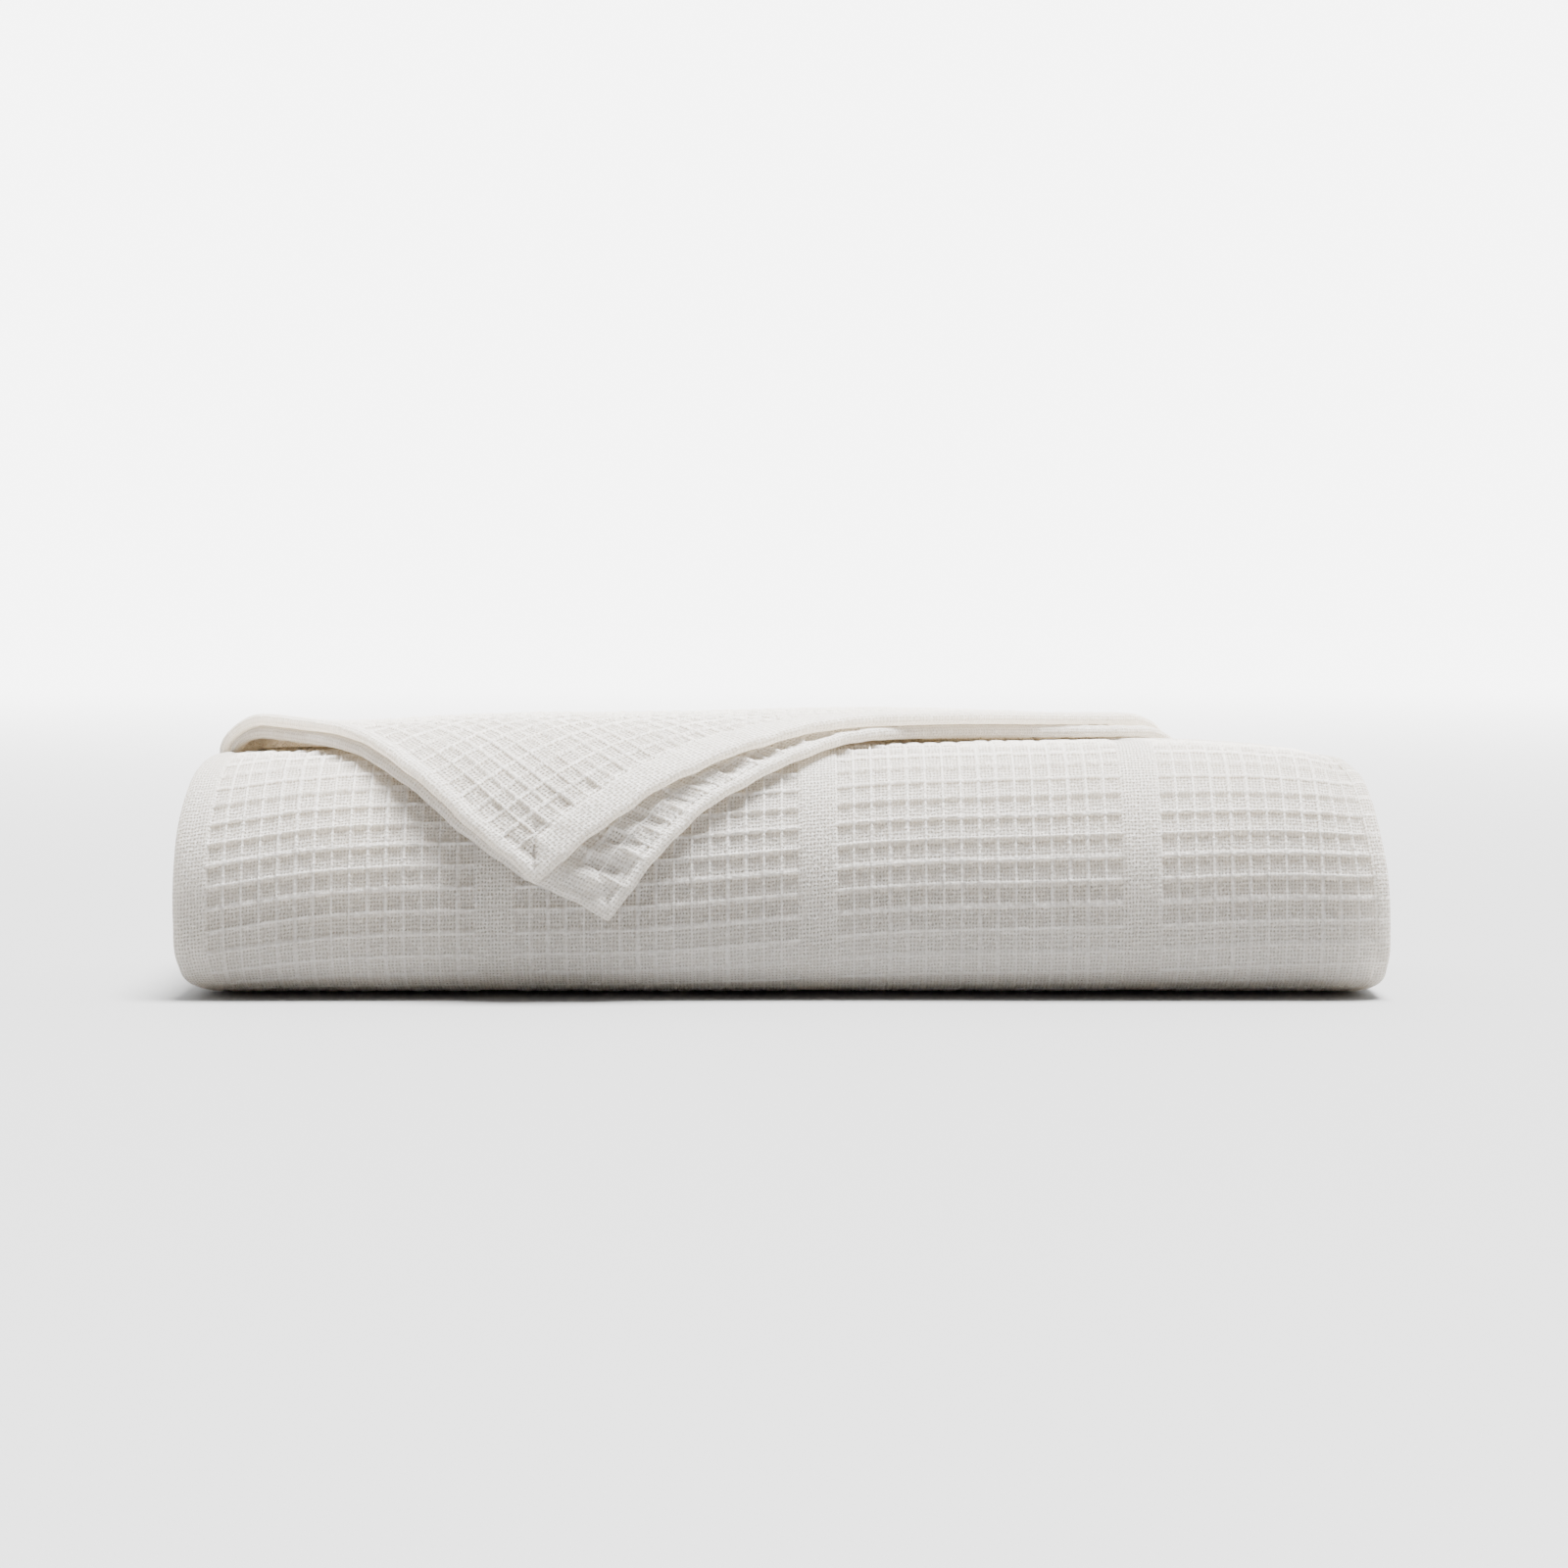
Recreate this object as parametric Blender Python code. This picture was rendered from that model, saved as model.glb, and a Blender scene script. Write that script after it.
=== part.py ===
"""A folded waffle weave cotton blanket with one corner drawn over its front.

The blanket is one cloth and one solid. It lies folded back and forth in nested turns, so
that its front is one round fold and its back shows the small bends between the turns. Its
hemmed corner, two plies thick, is drawn over the top, curls down near the left end and
hangs over the front.

Frame: metres, +X to the right, -Y to the front, +Z up. The origin is under the middle of
the blanket, on the surface that it rests on.
"""

import math

import bmesh
import bpy
import numpy as np

# Driving dimensions, in metres.
WIDTH = 0.425           # end to end, along X
DEPTH = 0.184           # front fold to back bends, along Y
HEIGHT = 0.0875         # top of the upper layer
CLOTH = 0.0032          # cloth, over the waffle ridges of both faces
HEM = 0.0044            # cloth turned under twice and pressed flat
HEM_WIDTH = 0.013
TURNS = 12              # nested turns, each with one layer above and one below
CENTRE_SHIFT = -0.0017  # moves the whole along Y, so that the origin is under its middle

# The round front fold: how far it comes forward, how square it is, and how far it sags.
FOLD_DEPTH = 0.052
SQUARE_ABOVE = 2.3
SQUARE_BELOW = 2.7
SAG = 0.29

# Planes along Y that follow from these.
FRONT_Y = -DEPTH / 2 + CENTRE_SHIFT
BACK_Y = DEPTH / 2 + CENTRE_SHIFT
FOLD_Y = FRONT_Y + FOLD_DEPTH
PITCH = (HEIGHT - CLOTH) / (2 * TURNS - 1)

# How far the back bends stand in from the back plane: height as a share, inset.
BACK_OUTLINE = [
    (0.00, 0.0040),
    (0.25, 0.0010),
    (0.50, 0.0010),
    (0.70, 0.0030),
    (0.85, 0.0070),
    (1.00, 0.0150),
]
BACK_WOBBLE = 0.0012    # unevenness of one bend against the next
BEND_PHASE = 0.7        # and how it runs on from turn to turn, in radians
BEND_PHASE_STEP = 2.3

# Outline of the two ends, seen from the front: height, inset at the left, at the right.
END_OUTLINE = [
    (0.000, 0.0095, 0.0070),
    (0.004, 0.0040, 0.0024),
    (0.012, 0.0010, 0.0004),
    (0.028, 0.0000, 0.0000),
    (0.048, 0.0001, 0.0010),
    (0.062, 0.0008, 0.0030),
    (0.074, 0.0026, 0.0050),
    (0.082, 0.0046, 0.0074),
    (0.0875, 0.0075, 0.0115),
]
END_FADE = 0.030        # length over which the inset dies away from an end
END_ROUND = 0.018       # length over which the front and back turn in at an end
FRONT_TURN_IN = 0.0100
BACK_TURN_IN = 0.0050

# Height of the top along the width, as a share of HEIGHT: place along X, share.
TOP_LINE = [
    (-0.213, 0.960),
    (-0.190, 0.966),
    (-0.150, 0.975),
    (-0.080, 0.990),
    (0.000, 1.000),
    (0.080, 1.005),
    (0.135, 1.018),
    (0.160, 1.010),
    (0.185, 0.984),
    (0.200, 0.960),
    (0.213, 0.945),
]

BACK_FALL = 0.030       # how much lower the back is, as a share of HEIGHT

# Soft waves of the front: how deep, radians per metre along X, and where they start.
FRONT_SWELLS = [
    (0.0012, 17.0, 1.2),
    (0.0007, 41.0, 0.4),
]
TOP_WAVE = 0.006        # soft waves of the top, as a share of HEIGHT
TOP_WAVE_X = 29.0       # radians per metre along X
TOP_WAVE_Y = 11.0       # radians per metre along Y
BEYOND = 1.3            # the corner reaches this far past half the depth, as a share of it

# The rounded edge over which the turned corner runs down the back.
BACK_ROUND = 0.018
BACK_DROP = 0.016       # straight run below that edge
BACK_SPARE = 0.010      # spare length below that run
TUCK_LENGTH = 0.014     # end of that run, which turns in between the layers
TUCK = 0.0075

# The corner lies on the outer surface, laid out flat: x across, s along the section. s is 0
# where the front fold begins, grows down the front, and is negative on the top and back.
CURL_X = -0.1905        # crest of the curl near the left end
CORNER_BACK_S = -0.1560
# Left hem, from the curl to the tip: x, s of the lower ply, x, s of the upper ply.
LEFT_HEM = [
    (-0.1905, -0.0210, -0.1905, -0.0190),
    (-0.1690, 0.0010, -0.1690, 0.0005),
    (-0.1370, 0.0340, -0.1370, 0.0320),
    (-0.0980, 0.0690, -0.1000, 0.0655),
    (-0.0600, 0.0885, -0.0850, 0.0765),
]
# Right hem, from the back to the tip: x, s of the lower ply, x, s of the upper ply.
RIGHT_HEM = [
    (0.1840, -0.1560, 0.1780, -0.1560),
    (0.1370, -0.1100, 0.1320, -0.1100),
    (0.0620, -0.0210, 0.0600, -0.0150),
    (0.0100, 0.0245, 0.0050, 0.0190),
    (-0.0300, 0.0540, -0.0400, 0.0440),
    (-0.0600, 0.0885, -0.0850, 0.0765),
]
# Plies of the corner: column of the hem tables, and height over the one below.
PLY_COLUMN = {"lower": 0, "upper": 2}
PLY_STEP = 0.0049       # middle of the lower ply to middle of the upper ply
REST_GAP = 0.0010       # the lower ply over the blanket, at its hems
PUFF = 0.0032           # how much further it stands away from its hems
PUFF_LENGTH = 0.030
PUFF_FADE = 0.110       # length from the curl over which it begins to stand away
PUFF_END_S = 0.045      # s below which it hangs close to the front
PUFF_END_FADE = 0.060
HOLLOW = 0.0034         # extra height beside the curl
HOLLOW_LENGTH = 0.020
CURL_SPREAD = 0.0165    # width of the lower ply's curl
CURL_SINK = 0.0019      # depth to which the curl is let into the upper layer
CURL_RISE = 0.0040      # least height of a curl over its foot
CURL_SLANT = 0.55       # how far the hem runs back along the curl, for its length
CURL_THIN = 0.35        # share by which the cloth is pressed thinner at the curl's foot
HEM_RAMP = 0.0025       # width over which the hem's thickness meets the cloth's
EDGE_ROUND = 0.0020     # rounding of the hem's edge
EDGE_THIN = 0.45        # thickness left at the very edge, as a share

# Mesh steps.
FINE_TURNS = 2          # outer turns with the fine steps
OUTER_ANGLES = 12       # steps round the front fold of those
INNER_ANGLES = 6
OUTER_ARM_STEPS = 4     # steps along the top and bottom of the outermost turn
INNER_ARM_STEPS = 2
BEND_STEPS = 4
STATION_INSETS = [0.0, 0.0035, 0.0150, 0.0550, 0.1325]  # from each end, and one midway
CURL_SHARES = [1.0, 0.75, 0.5, 0.25]
ACROSS_SHARES = [0.0, 0.06, 0.14, 0.25, 0.38, 0.50, 0.62, 0.74, 0.87, 1.0]
ALONG_SHARES = [0.0, 0.05, 0.10, 0.16, 0.23, 0.36, 0.48, 0.58, 0.66, 0.73, 0.80, 0.87, 0.935, 1.0]
HEM_INSETS = [0.0105, 0.0012, 0.0]
HULL_STEP = 0.001
HULL_ROUND_STEPS = 24
HULL_FOLD_STEPS = 150
SHARP_ANGLE = math.radians(50)

COTTON_WHITE = (0.80, 0.79, 0.765, 1.0)
COTTON_ROUGHNESS = 0.92


# ------------------------------------------------------------------ numbers
def smooth_step(share):
    """Ease from 0 to 1, flat at both ends."""
    share = np.clip(share, 0.0, 1.0)
    return share * share * (3.0 - 2.0 * share)


def smooth_table(places, values, at):
    """Read a table between its rows along a smooth curve."""
    places = np.asarray(places, dtype=float)
    values = np.asarray(values, dtype=float)
    at = np.clip(at, places[0], places[-1])
    slopes = np.gradient(values, places)
    row = np.clip(np.searchsorted(places, at, side="right") - 1, 0, len(places) - 2)
    span = places[row + 1] - places[row]
    t = (at - places[row]) / span
    start = (1 + 2 * t) * (1 - t) ** 2 * values[row] + t * (1 - t) ** 2 * span * slopes[row]
    end = t * t * (3 - 2 * t) * values[row + 1] + t * t * (t - 1) * span * slopes[row + 1]
    return start + end


# ------------------------------------------------------------------ section of the layers
def turn_half_height(turn):
    """Half the height of a turn, between the middles of its two layers."""
    return (TURNS - turn - 0.5) * PITCH


def fold_line(turn, angle):
    """Middle line of a turn's front fold. The angle runs from 90 degrees above to -90 below."""
    outerness = 1.0 - turn / (TURNS - 1)
    half = turn_half_height(turn)
    outer_half = turn_half_height(0)
    squareness = np.where(angle > 0, SQUARE_ABOVE, SQUARE_BELOW)
    power = 2.0 / (2.0 + (squareness - 2.0) * outerness)
    rise = np.sign(angle) * np.abs(np.sin(angle)) ** power
    forward = np.clip(np.cos(angle), 0.0, 1.0) ** power
    stretch = 1.0 + ((FOLD_DEPTH - CLOTH / 2) / outer_half - 1.0) * outerness
    y = FOLD_Y - stretch * half * forward
    z = HEIGHT / 2 + half * (rise - SAG * outerness * (1.0 - rise ** 2))
    return y, z


def back_end(height, turn):
    """Where a layer at this height stops and bends, along Y."""
    shares, insets = zip(*BACK_OUTLINE)
    inset = float(smooth_table(shares, insets, height / HEIGHT))
    wobble = BACK_WOBBLE * math.sin(BEND_PHASE_STEP * turn + BEND_PHASE)
    return BACK_Y - PITCH / 2 - CLOTH / 2 - inset + wobble


def turn_line(turn, above_end, below_end):
    """Middle line of one turn, from its back end above, round the front, to below."""
    half = turn_half_height(turn)
    angle_steps = OUTER_ANGLES if turn < FINE_TURNS else INNER_ANGLES
    arm_steps = OUTER_ARM_STEPS if turn == 0 else INNER_ARM_STEPS
    points = []
    for step in range(arm_steps):
        y = above_end + (FOLD_Y - above_end) * step / arm_steps
        points.append((y, HEIGHT / 2 + half))
    for step in range(angle_steps + 1):
        angle = math.pi / 2 - math.pi * step / angle_steps
        y, z = fold_line(turn, np.float64(angle))
        points.append((float(y), float(z)))
    for step in range(1, arm_steps + 1):
        y = FOLD_Y + (below_end - FOLD_Y) * step / arm_steps
        points.append((y, HEIGHT / 2 - half))
    return points


def bend_line(y, z_from, z_to):
    """Points of a half-round bend at the back, without its two ends."""
    middle = (z_from + z_to) / 2
    radius = abs(z_to - z_from) / 2
    turn_way = 1.0 if z_to > z_from else -1.0
    points = []
    for step in range(1, BEND_STEPS):
        angle = math.pi * step / BEND_STEPS
        across = radius * math.sin(angle)
        points.append((y + across, middle - turn_way * radius * math.cos(angle)))
    return points


def cloth_line():
    """Middle line of the whole cloth in section, turn after turn."""
    middle = HEIGHT / 2
    above = []
    below = []
    for turn in range(TURNS):
        half = turn_half_height(turn)
        # Layers that a bend joins stop at one place: pairs 1-2, 3-4 above and 0-1, 2-3 below.
        above_pair = (turn + 1) // 2 * 2 - 1
        below_pair = turn // 2 * 2
        above_height = middle + turn_half_height(max(above_pair, 0))
        below_height = middle - turn_half_height(below_pair)
        above.append(back_end(above_height, above_pair))
        below.append(back_end(below_height, below_pair + TURNS))
    line = []
    for turn in range(TURNS):
        points = turn_line(turn, above[turn], below[turn])
        goes_down = turn % 2 == 0
        if not goes_down:
            points.reverse()
        line.extend(points)
        if turn < TURNS - 1:
            side = -1.0 if goes_down else 1.0
            z_from = middle + side * turn_half_height(turn)
            z_to = middle + side * turn_half_height(turn + 1)
            y = below[turn] if goes_down else above[turn]
            line.extend(bend_line(y, z_from, z_to))
    return line


def offset_line(line, distance):
    """The same line moved sideways, keeping its distance at the corners."""
    points = np.array(line)
    ahead = np.diff(points, axis=0)
    ahead /= np.linalg.norm(ahead, axis=1)[:, None]
    before = np.vstack([ahead[:1], ahead])
    after = np.vstack([ahead, ahead[-1:]])
    normal_before = np.stack([before[:, 1], -before[:, 0]], axis=1)
    normal_after = np.stack([after[:, 1], -after[:, 0]], axis=1)
    normal = normal_before + normal_after
    normal /= np.linalg.norm(normal, axis=1)[:, None]
    spread = np.sum(normal * normal_before, axis=1)
    return points + normal * (distance / spread)[:, None]


# ------------------------------------------------------------------ unevenness
def settle(x, y, z):
    """Bring points of the ideal stack to the true, uneven, rounded one."""
    x = np.asarray(x, dtype=float)
    heights, left_insets, right_insets = zip(*END_OUTLINE)
    left = smooth_table(heights, left_insets, z)
    right = smooth_table(heights, right_insets, z)
    inset = np.where(x < 0, left, right)
    from_end = WIDTH / 2 - np.abs(x)
    fade = smooth_step(1.0 - from_end / END_FADE)
    new_x = x - np.sign(x) * inset * fade

    corner = np.clip(1.0 - from_end / END_ROUND, 0.0, 1.0)
    turned = 1.0 - np.sqrt(1.0 - corner ** 2)
    to_front = np.clip((CENTRE_SHIFT - y) / (DEPTH / 2), 0.0, BEYOND)
    to_back = np.clip((y - CENTRE_SHIFT) / (DEPTH / 2), 0.0, BEYOND)
    share = np.clip(z / HEIGHT, 0.0, BEYOND)
    belly = 4.0 * share * (1.0 - share)
    swell = sum(deep * np.sin(rate * x + start) for deep, rate, start in FRONT_SWELLS)
    new_y = y + turned * (FRONT_TURN_IN * to_front - BACK_TURN_IN * to_back)
    new_y = new_y + swell * to_front * np.clip(belly, 0.0, 1.0)

    places, shares = zip(*TOP_LINE)
    top = smooth_table(places, shares, x)
    fall = BACK_FALL * smooth_step((y - FOLD_Y) / (BACK_Y - FOLD_Y))
    waves = TOP_WAVE * np.sin(TOP_WAVE_X * x + TOP_WAVE_Y * y) * share
    new_z = z * (top - fall + waves)
    return new_x, new_y, new_z


# ------------------------------------------------------------------ stack of layers
def mesh_object(name, vertices, faces, collection):
    """A mesh object from points and faces, in a collection."""
    mesh = bpy.data.meshes.new(name)
    mesh.from_pydata(vertices, [], faces)
    build = bmesh.new()
    build.from_mesh(mesh)
    bmesh.ops.recalc_face_normals(build, faces=build.faces)
    build.to_mesh(mesh)
    build.free()
    mesh.shade_smooth()
    mesh.set_sharp_from_angle(angle=SHARP_ANGLE)
    thing = bpy.data.objects.new(name, mesh)
    collection.objects.link(thing)
    return thing


def stations():
    """Places along X of the sections, from the left end to the right."""
    left = [inset - WIDTH / 2 for inset in STATION_INSETS]
    right = [-x for x in reversed(left)]
    return left + [0.0] + right


def stack_mesh(name, collection):
    """All layers: the section's two sides, lofted from end to end and closed."""
    line = cloth_line()
    one_side = offset_line(line, CLOTH / 2)
    other_side = offset_line(line, -CLOTH / 2)
    ring = np.vstack([one_side, other_side[::-1]])
    count = len(line)
    size = len(ring)
    vertices = []
    for place in stations():
        x, y, z = settle(np.full(size, place), ring[:, 0], ring[:, 1])
        vertices.extend(zip(x.tolist(), y.tolist(), z.tolist()))
    faces = []
    for station in range(len(stations()) - 1):
        first = station * size
        for point in range(size):
            after = (point + 1) % size
            faces.append((first + point, first + after,
                          first + size + after, first + size + point))
    last = (len(stations()) - 1) * size
    for start in (0, last):
        for point in range(count - 1):
            opposite = size - 1 - point
            faces.append((start + point, start + point + 1,
                          start + opposite - 1, start + opposite))
    return mesh_object(name, vertices, faces, collection)


# ------------------------------------------------------------------ the drawn-over corner
def hull_line():
    """Outer surface in section: up the back, over the top, down the front fold."""
    round_y = BACK_Y - BACK_ROUND
    back = [(BACK_Y, HEIGHT - BACK_ROUND - drop)
            for drop in np.arange(BACK_DROP + BACK_SPARE, 0.0, -HULL_STEP)]
    turn = [(round_y + BACK_ROUND * math.cos(angle),
             HEIGHT - BACK_ROUND + BACK_ROUND * math.sin(angle))
            for angle in np.linspace(0.0, math.pi / 2, HULL_ROUND_STEPS)]
    top = [(y, HEIGHT) for y in np.arange(round_y - HULL_STEP, FOLD_Y, -HULL_STEP)]
    start = len(back) + len(turn) + len(top)
    angles = np.linspace(math.pi / 2, -math.pi / 2, HULL_FOLD_STEPS)
    fold = np.stack(fold_line(0, angles), axis=1)
    front = offset_line(fold, CLOTH / 2)
    points = np.vstack([np.array(back + turn + top), front])
    steps = np.linalg.norm(np.diff(points, axis=0), axis=1)
    lengths = np.concatenate([[0.0], np.cumsum(steps)])
    return points, lengths - lengths[start]


HULL_POINTS, HULL_LENGTHS = hull_line()
HULL_SLOPES = np.gradient(HULL_POINTS, HULL_LENGTHS, axis=0)


def on_hull(s, height):
    """Point in section at a height over the outer surface."""
    y = np.interp(s, HULL_LENGTHS, HULL_POINTS[:, 0])
    z = np.interp(s, HULL_LENGTHS, HULL_POINTS[:, 1])
    along_y = np.interp(s, HULL_LENGTHS, HULL_SLOPES[:, 0])
    along_z = np.interp(s, HULL_LENGTHS, HULL_SLOPES[:, 1])
    size = np.hypot(along_y, along_z)
    return y + height * along_z / size, z - height * along_y / size


def hem_line(table, ply, share):
    """Point of a hem on the laid-out surface, share 0 to 1 along the hem."""
    column = PLY_COLUMN[ply]
    rows = np.array([row[column:column + 2] for row in table])
    steps = np.linalg.norm(np.diff(rows, axis=0), axis=1)
    places = np.concatenate([[0.0], np.cumsum(steps)]) / steps.sum()
    return np.stack([smooth_table(places, rows[:, 0], share),
                     smooth_table(places, rows[:, 1], share)], axis=-1)


def laid_out(ply, across, along):
    """Point (x, s) of a ply: across from the curl to the right hem, along from the back."""
    left_hem = hem_line(LEFT_HEM, ply, across)
    right_hem = hem_line(RIGHT_HEM, ply, along)
    back_left = np.array([CURL_X, CORNER_BACK_S])
    front_left = hem_line(LEFT_HEM, ply, np.float64(0.0))
    back_right = hem_line(RIGHT_HEM, ply, np.float64(0.0))
    tip = hem_line(LEFT_HEM, ply, np.float64(1.0))
    a = np.asarray(across)[..., None]
    b = np.asarray(along)[..., None]
    back = back_left + (back_right - back_left) * a
    left = back_left + (front_left - back_left) * b
    corners = ((1 - a) * (1 - b) * back_left + a * (1 - b) * back_right
               + (1 - a) * b * front_left + a * b * tip)
    return (1 - b) * back + b * left_hem + (1 - a) * left + a * right_hem - corners


def span(ply, across, along, side):
    """Length of a ply through a place, towards the left hem or towards the right hem."""
    if side == "left":
        ends = laid_out(ply, across, np.ones_like(along)) - laid_out(
            ply, across, np.zeros_like(along))
    else:
        ends = laid_out(ply, np.ones_like(across), along) - laid_out(
            ply, np.zeros_like(across), along)
    return np.linalg.norm(ends, axis=-1)


def ply_height(ply, x, s, from_left_hem, from_right_hem):
    """Height of the middle of a ply over the blanket's outer surface."""
    from_hem = np.minimum(from_left_hem, from_right_hem)
    puffed = PUFF * (1.0 - np.exp(-(from_hem / PUFF_LENGTH) ** 2))
    on_top = smooth_step((PUFF_END_S - s) / PUFF_END_FADE)
    on_top = on_top * smooth_step((x - CURL_X) / PUFF_FADE)
    hollow = HOLLOW * np.exp(-((x - CURL_X) / HOLLOW_LENGTH) ** 2)
    tucked = TUCK * smooth_step((CORNER_BACK_S + TUCK_LENGTH - s) / TUCK_LENGTH)
    step = PLY_STEP if ply == "upper" else 0.0
    return REST_GAP + HEM / 2 + puffed * on_top + hollow + step - tucked


def ply_thickness(from_left_hem, from_right_hem):
    """Thickness of a ply: the hem is thicker, and its edge is rounded."""
    from_hem = np.minimum(from_left_hem, from_right_hem)
    plain = smooth_step((from_hem - HEM_WIDTH + HEM_RAMP) / HEM_RAMP)
    thick = HEM + (CLOTH - HEM) * plain
    edge = np.sqrt(1.0 - (1.0 - np.clip(from_hem / EDGE_ROUND, 0.0, 1.0)) ** 2)
    return thick * (EDGE_THIN + (1.0 - EDGE_THIN) * edge)


def curl_spread(ply):
    """Half width of a ply's curl, wider for the ply outside."""
    return CURL_SPREAD + (PLY_STEP if ply == "upper" else 0.0)


def middle_surface(ply, across, along, curl):
    """Middle surface and thickness of a ply. curl is 0 on the sheet and 1 at the curl's foot."""
    place = laid_out(ply, across, along)
    x = place[..., 0]
    s = place[..., 1]
    from_left_hem = (1.0 - along) * span(ply, across, along, "left")
    from_right_hem = (1.0 - across) * span(ply, across, along, "right")
    height = ply_height(ply, x, s, from_left_hem, from_right_hem)
    thickness = ply_thickness(from_left_hem, from_right_hem)
    rise = np.maximum(height, CURL_RISE)
    foot = math.pi / 2 + np.arcsin(CURL_SINK / rise)
    angle = curl * foot
    spread = curl_spread(ply)
    x = x - spread * np.sin(angle)
    s = s - CURL_SLANT * curl * (spread + rise) * along
    y, z = on_hull(s, height - rise * (1.0 - np.cos(angle)))
    thickness = thickness * (1.0 - CURL_THIN * curl)
    return np.stack([x, y, z], axis=-1), thickness


def sheet_normals(points):
    """Unit normals of a grid of points."""
    one = np.gradient(points, axis=0)
    two = np.gradient(points, axis=1)
    normal = np.cross(one, two)
    return normal / np.linalg.norm(normal, axis=-1)[..., None]


def hem_shares(shares, length):
    """Shares along a length whose last steps are the hem's, at true distances from the edge."""
    inner = 1.0 - HEM_WIDTH / length
    body = [share * inner for share in shares]
    hem = [1.0 - inset / length for inset in HEM_INSETS]
    return body + hem


def ply_grid(ply):
    """Grid of shares (across, along, curl) over one ply."""
    columns = [(0.0, curl) for curl in CURL_SHARES]
    columns += [(share, 0.0) for share in ACROSS_SHARES]
    columns += [(None, inset) for inset in HEM_INSETS]
    grid = []
    for share, extra in columns:
        column = []
        rough_across = 1.0 if share is None else share
        along_length = float(span(ply, np.float64(rough_across), np.float64(1.0), "left"))
        for along in hem_shares(ALONG_SHARES, along_length):
            across_length = float(span(ply, np.float64(1.0), np.float64(along), "right"))
            inner = 1.0 - HEM_WIDTH / across_length
            if share is None:
                column.append((1.0 - extra / across_length, along, 0.0))
            else:
                column.append((share * inner, along, extra))
        grid.append(column)
    return np.array(grid)


def ply_mesh(name, ply, collection):
    """One closed sheet: the ply's middle surface, thickened to both sides."""
    grid = ply_grid(ply)
    middle, thickness = middle_surface(ply, grid[..., 0], grid[..., 1], grid[..., 2])
    half = sheet_normals(middle) * thickness[..., None] / 2
    rows, columns = middle.shape[:2]
    vertices = []
    for side in (middle + half, middle - half):
        x, y, z = settle(side[..., 0], side[..., 1], side[..., 2])
        vertices.extend(zip(x.ravel().tolist(), y.ravel().tolist(), z.ravel().tolist()))
    size = rows * columns
    faces = []
    for row in range(rows - 1):
        for column in range(columns - 1):
            a = row * columns + column
            b = a + columns
            faces.append((a, b, b + 1, a + 1))
            faces.append((size + a, size + a + 1, size + b + 1, size + b))
    rim = [row * columns for row in range(rows)]
    rim += [(rows - 1) * columns + column for column in range(1, columns)]
    rim += [row * columns + columns - 1 for row in range(rows - 2, -1, -1)]
    rim += list(range(columns - 2, 0, -1))
    for place, vertex in enumerate(rim):
        after = rim[(place + 1) % len(rim)]
        faces.append((vertex, after, size + after, size + vertex))
    return mesh_object(name, vertices, faces, collection)


# ------------------------------------------------------------------ assembly
def cotton():
    """White cotton."""
    material = bpy.data.materials.new("white_cotton")
    material.use_nodes = True
    shader = material.node_tree.nodes["Principled BSDF"]
    shader.inputs["Base Color"].default_value = COTTON_WHITE
    shader.inputs["Roughness"].default_value = COTTON_ROUGHNESS
    shader.inputs["Metallic"].default_value = 0.0
    return material


def join_ply(blanket, ply_object):
    """Make a ply one solid with the blanket."""
    ply_object.hide_render = True
    ply_object.display_type = "WIRE"
    union = blanket.modifiers.new(ply_object.name, "BOOLEAN")
    union.operation = "UNION"
    union.solver = "EXACT"
    union.object = ply_object


def new_collection(name):
    """A collection of the scene."""
    collection = bpy.data.collections.new(name)
    bpy.context.scene.collection.children.link(collection)
    return collection


def main():
    for thing in list(bpy.data.objects):
        bpy.data.objects.remove(thing, do_unlink=True)
    parts = new_collection("folded_blanket")
    cutters = new_collection("cutters")
    blanket = stack_mesh("blanket", parts)
    blanket.data.materials.append(cotton())
    for ply in PLY_COLUMN:
        join_ply(blanket, ply_mesh(ply + "_ply", ply, cutters))


main()
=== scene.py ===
"""Looks of the folded waffle weave cotton blanket, dressed on its solid.

The cloth is one sheet, folded back and forth in nested turns. It is made here in seven
stretches: the front and top of the outer turn, its base, the hemmed end on top, the layers
inside, the bends at the back, and the two plies of the corner that hangs over the front.
Each has a cloth map in metres (u across, v along) that the yarns follow, and those of which
a face shows carry the weave's relief.

Frame: metres, +X to the right, -Y to the front, +Z up, origin under the middle.
"""

import math

import bmesh
import bpy
import numpy as np
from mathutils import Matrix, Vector


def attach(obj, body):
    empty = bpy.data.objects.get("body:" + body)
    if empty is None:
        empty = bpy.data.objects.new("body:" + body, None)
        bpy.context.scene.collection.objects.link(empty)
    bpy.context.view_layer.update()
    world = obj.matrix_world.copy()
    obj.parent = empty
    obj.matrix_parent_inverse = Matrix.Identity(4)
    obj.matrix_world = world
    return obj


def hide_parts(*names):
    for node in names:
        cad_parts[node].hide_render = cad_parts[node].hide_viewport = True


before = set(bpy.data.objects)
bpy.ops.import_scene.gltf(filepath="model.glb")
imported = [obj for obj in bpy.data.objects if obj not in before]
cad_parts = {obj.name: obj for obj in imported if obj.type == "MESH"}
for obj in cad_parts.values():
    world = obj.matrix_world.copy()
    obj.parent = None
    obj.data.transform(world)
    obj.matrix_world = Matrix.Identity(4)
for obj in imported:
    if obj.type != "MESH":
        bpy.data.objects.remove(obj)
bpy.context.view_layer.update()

# ------------------------------------------------------------------ sizes of the solid
# Names and values are those of the part's own source, which explains each. Lengths in metres.
WIDTH = 0.425
DEPTH = 0.184
HEIGHT = 0.0875
CLOTH = 0.0032
HEM = 0.0044
HEM_WIDTH = 0.013
TURNS = 12
CENTRE_SHIFT = -0.0017
FOLD_DEPTH = 0.052
SQUARE_ABOVE = 2.3
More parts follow.
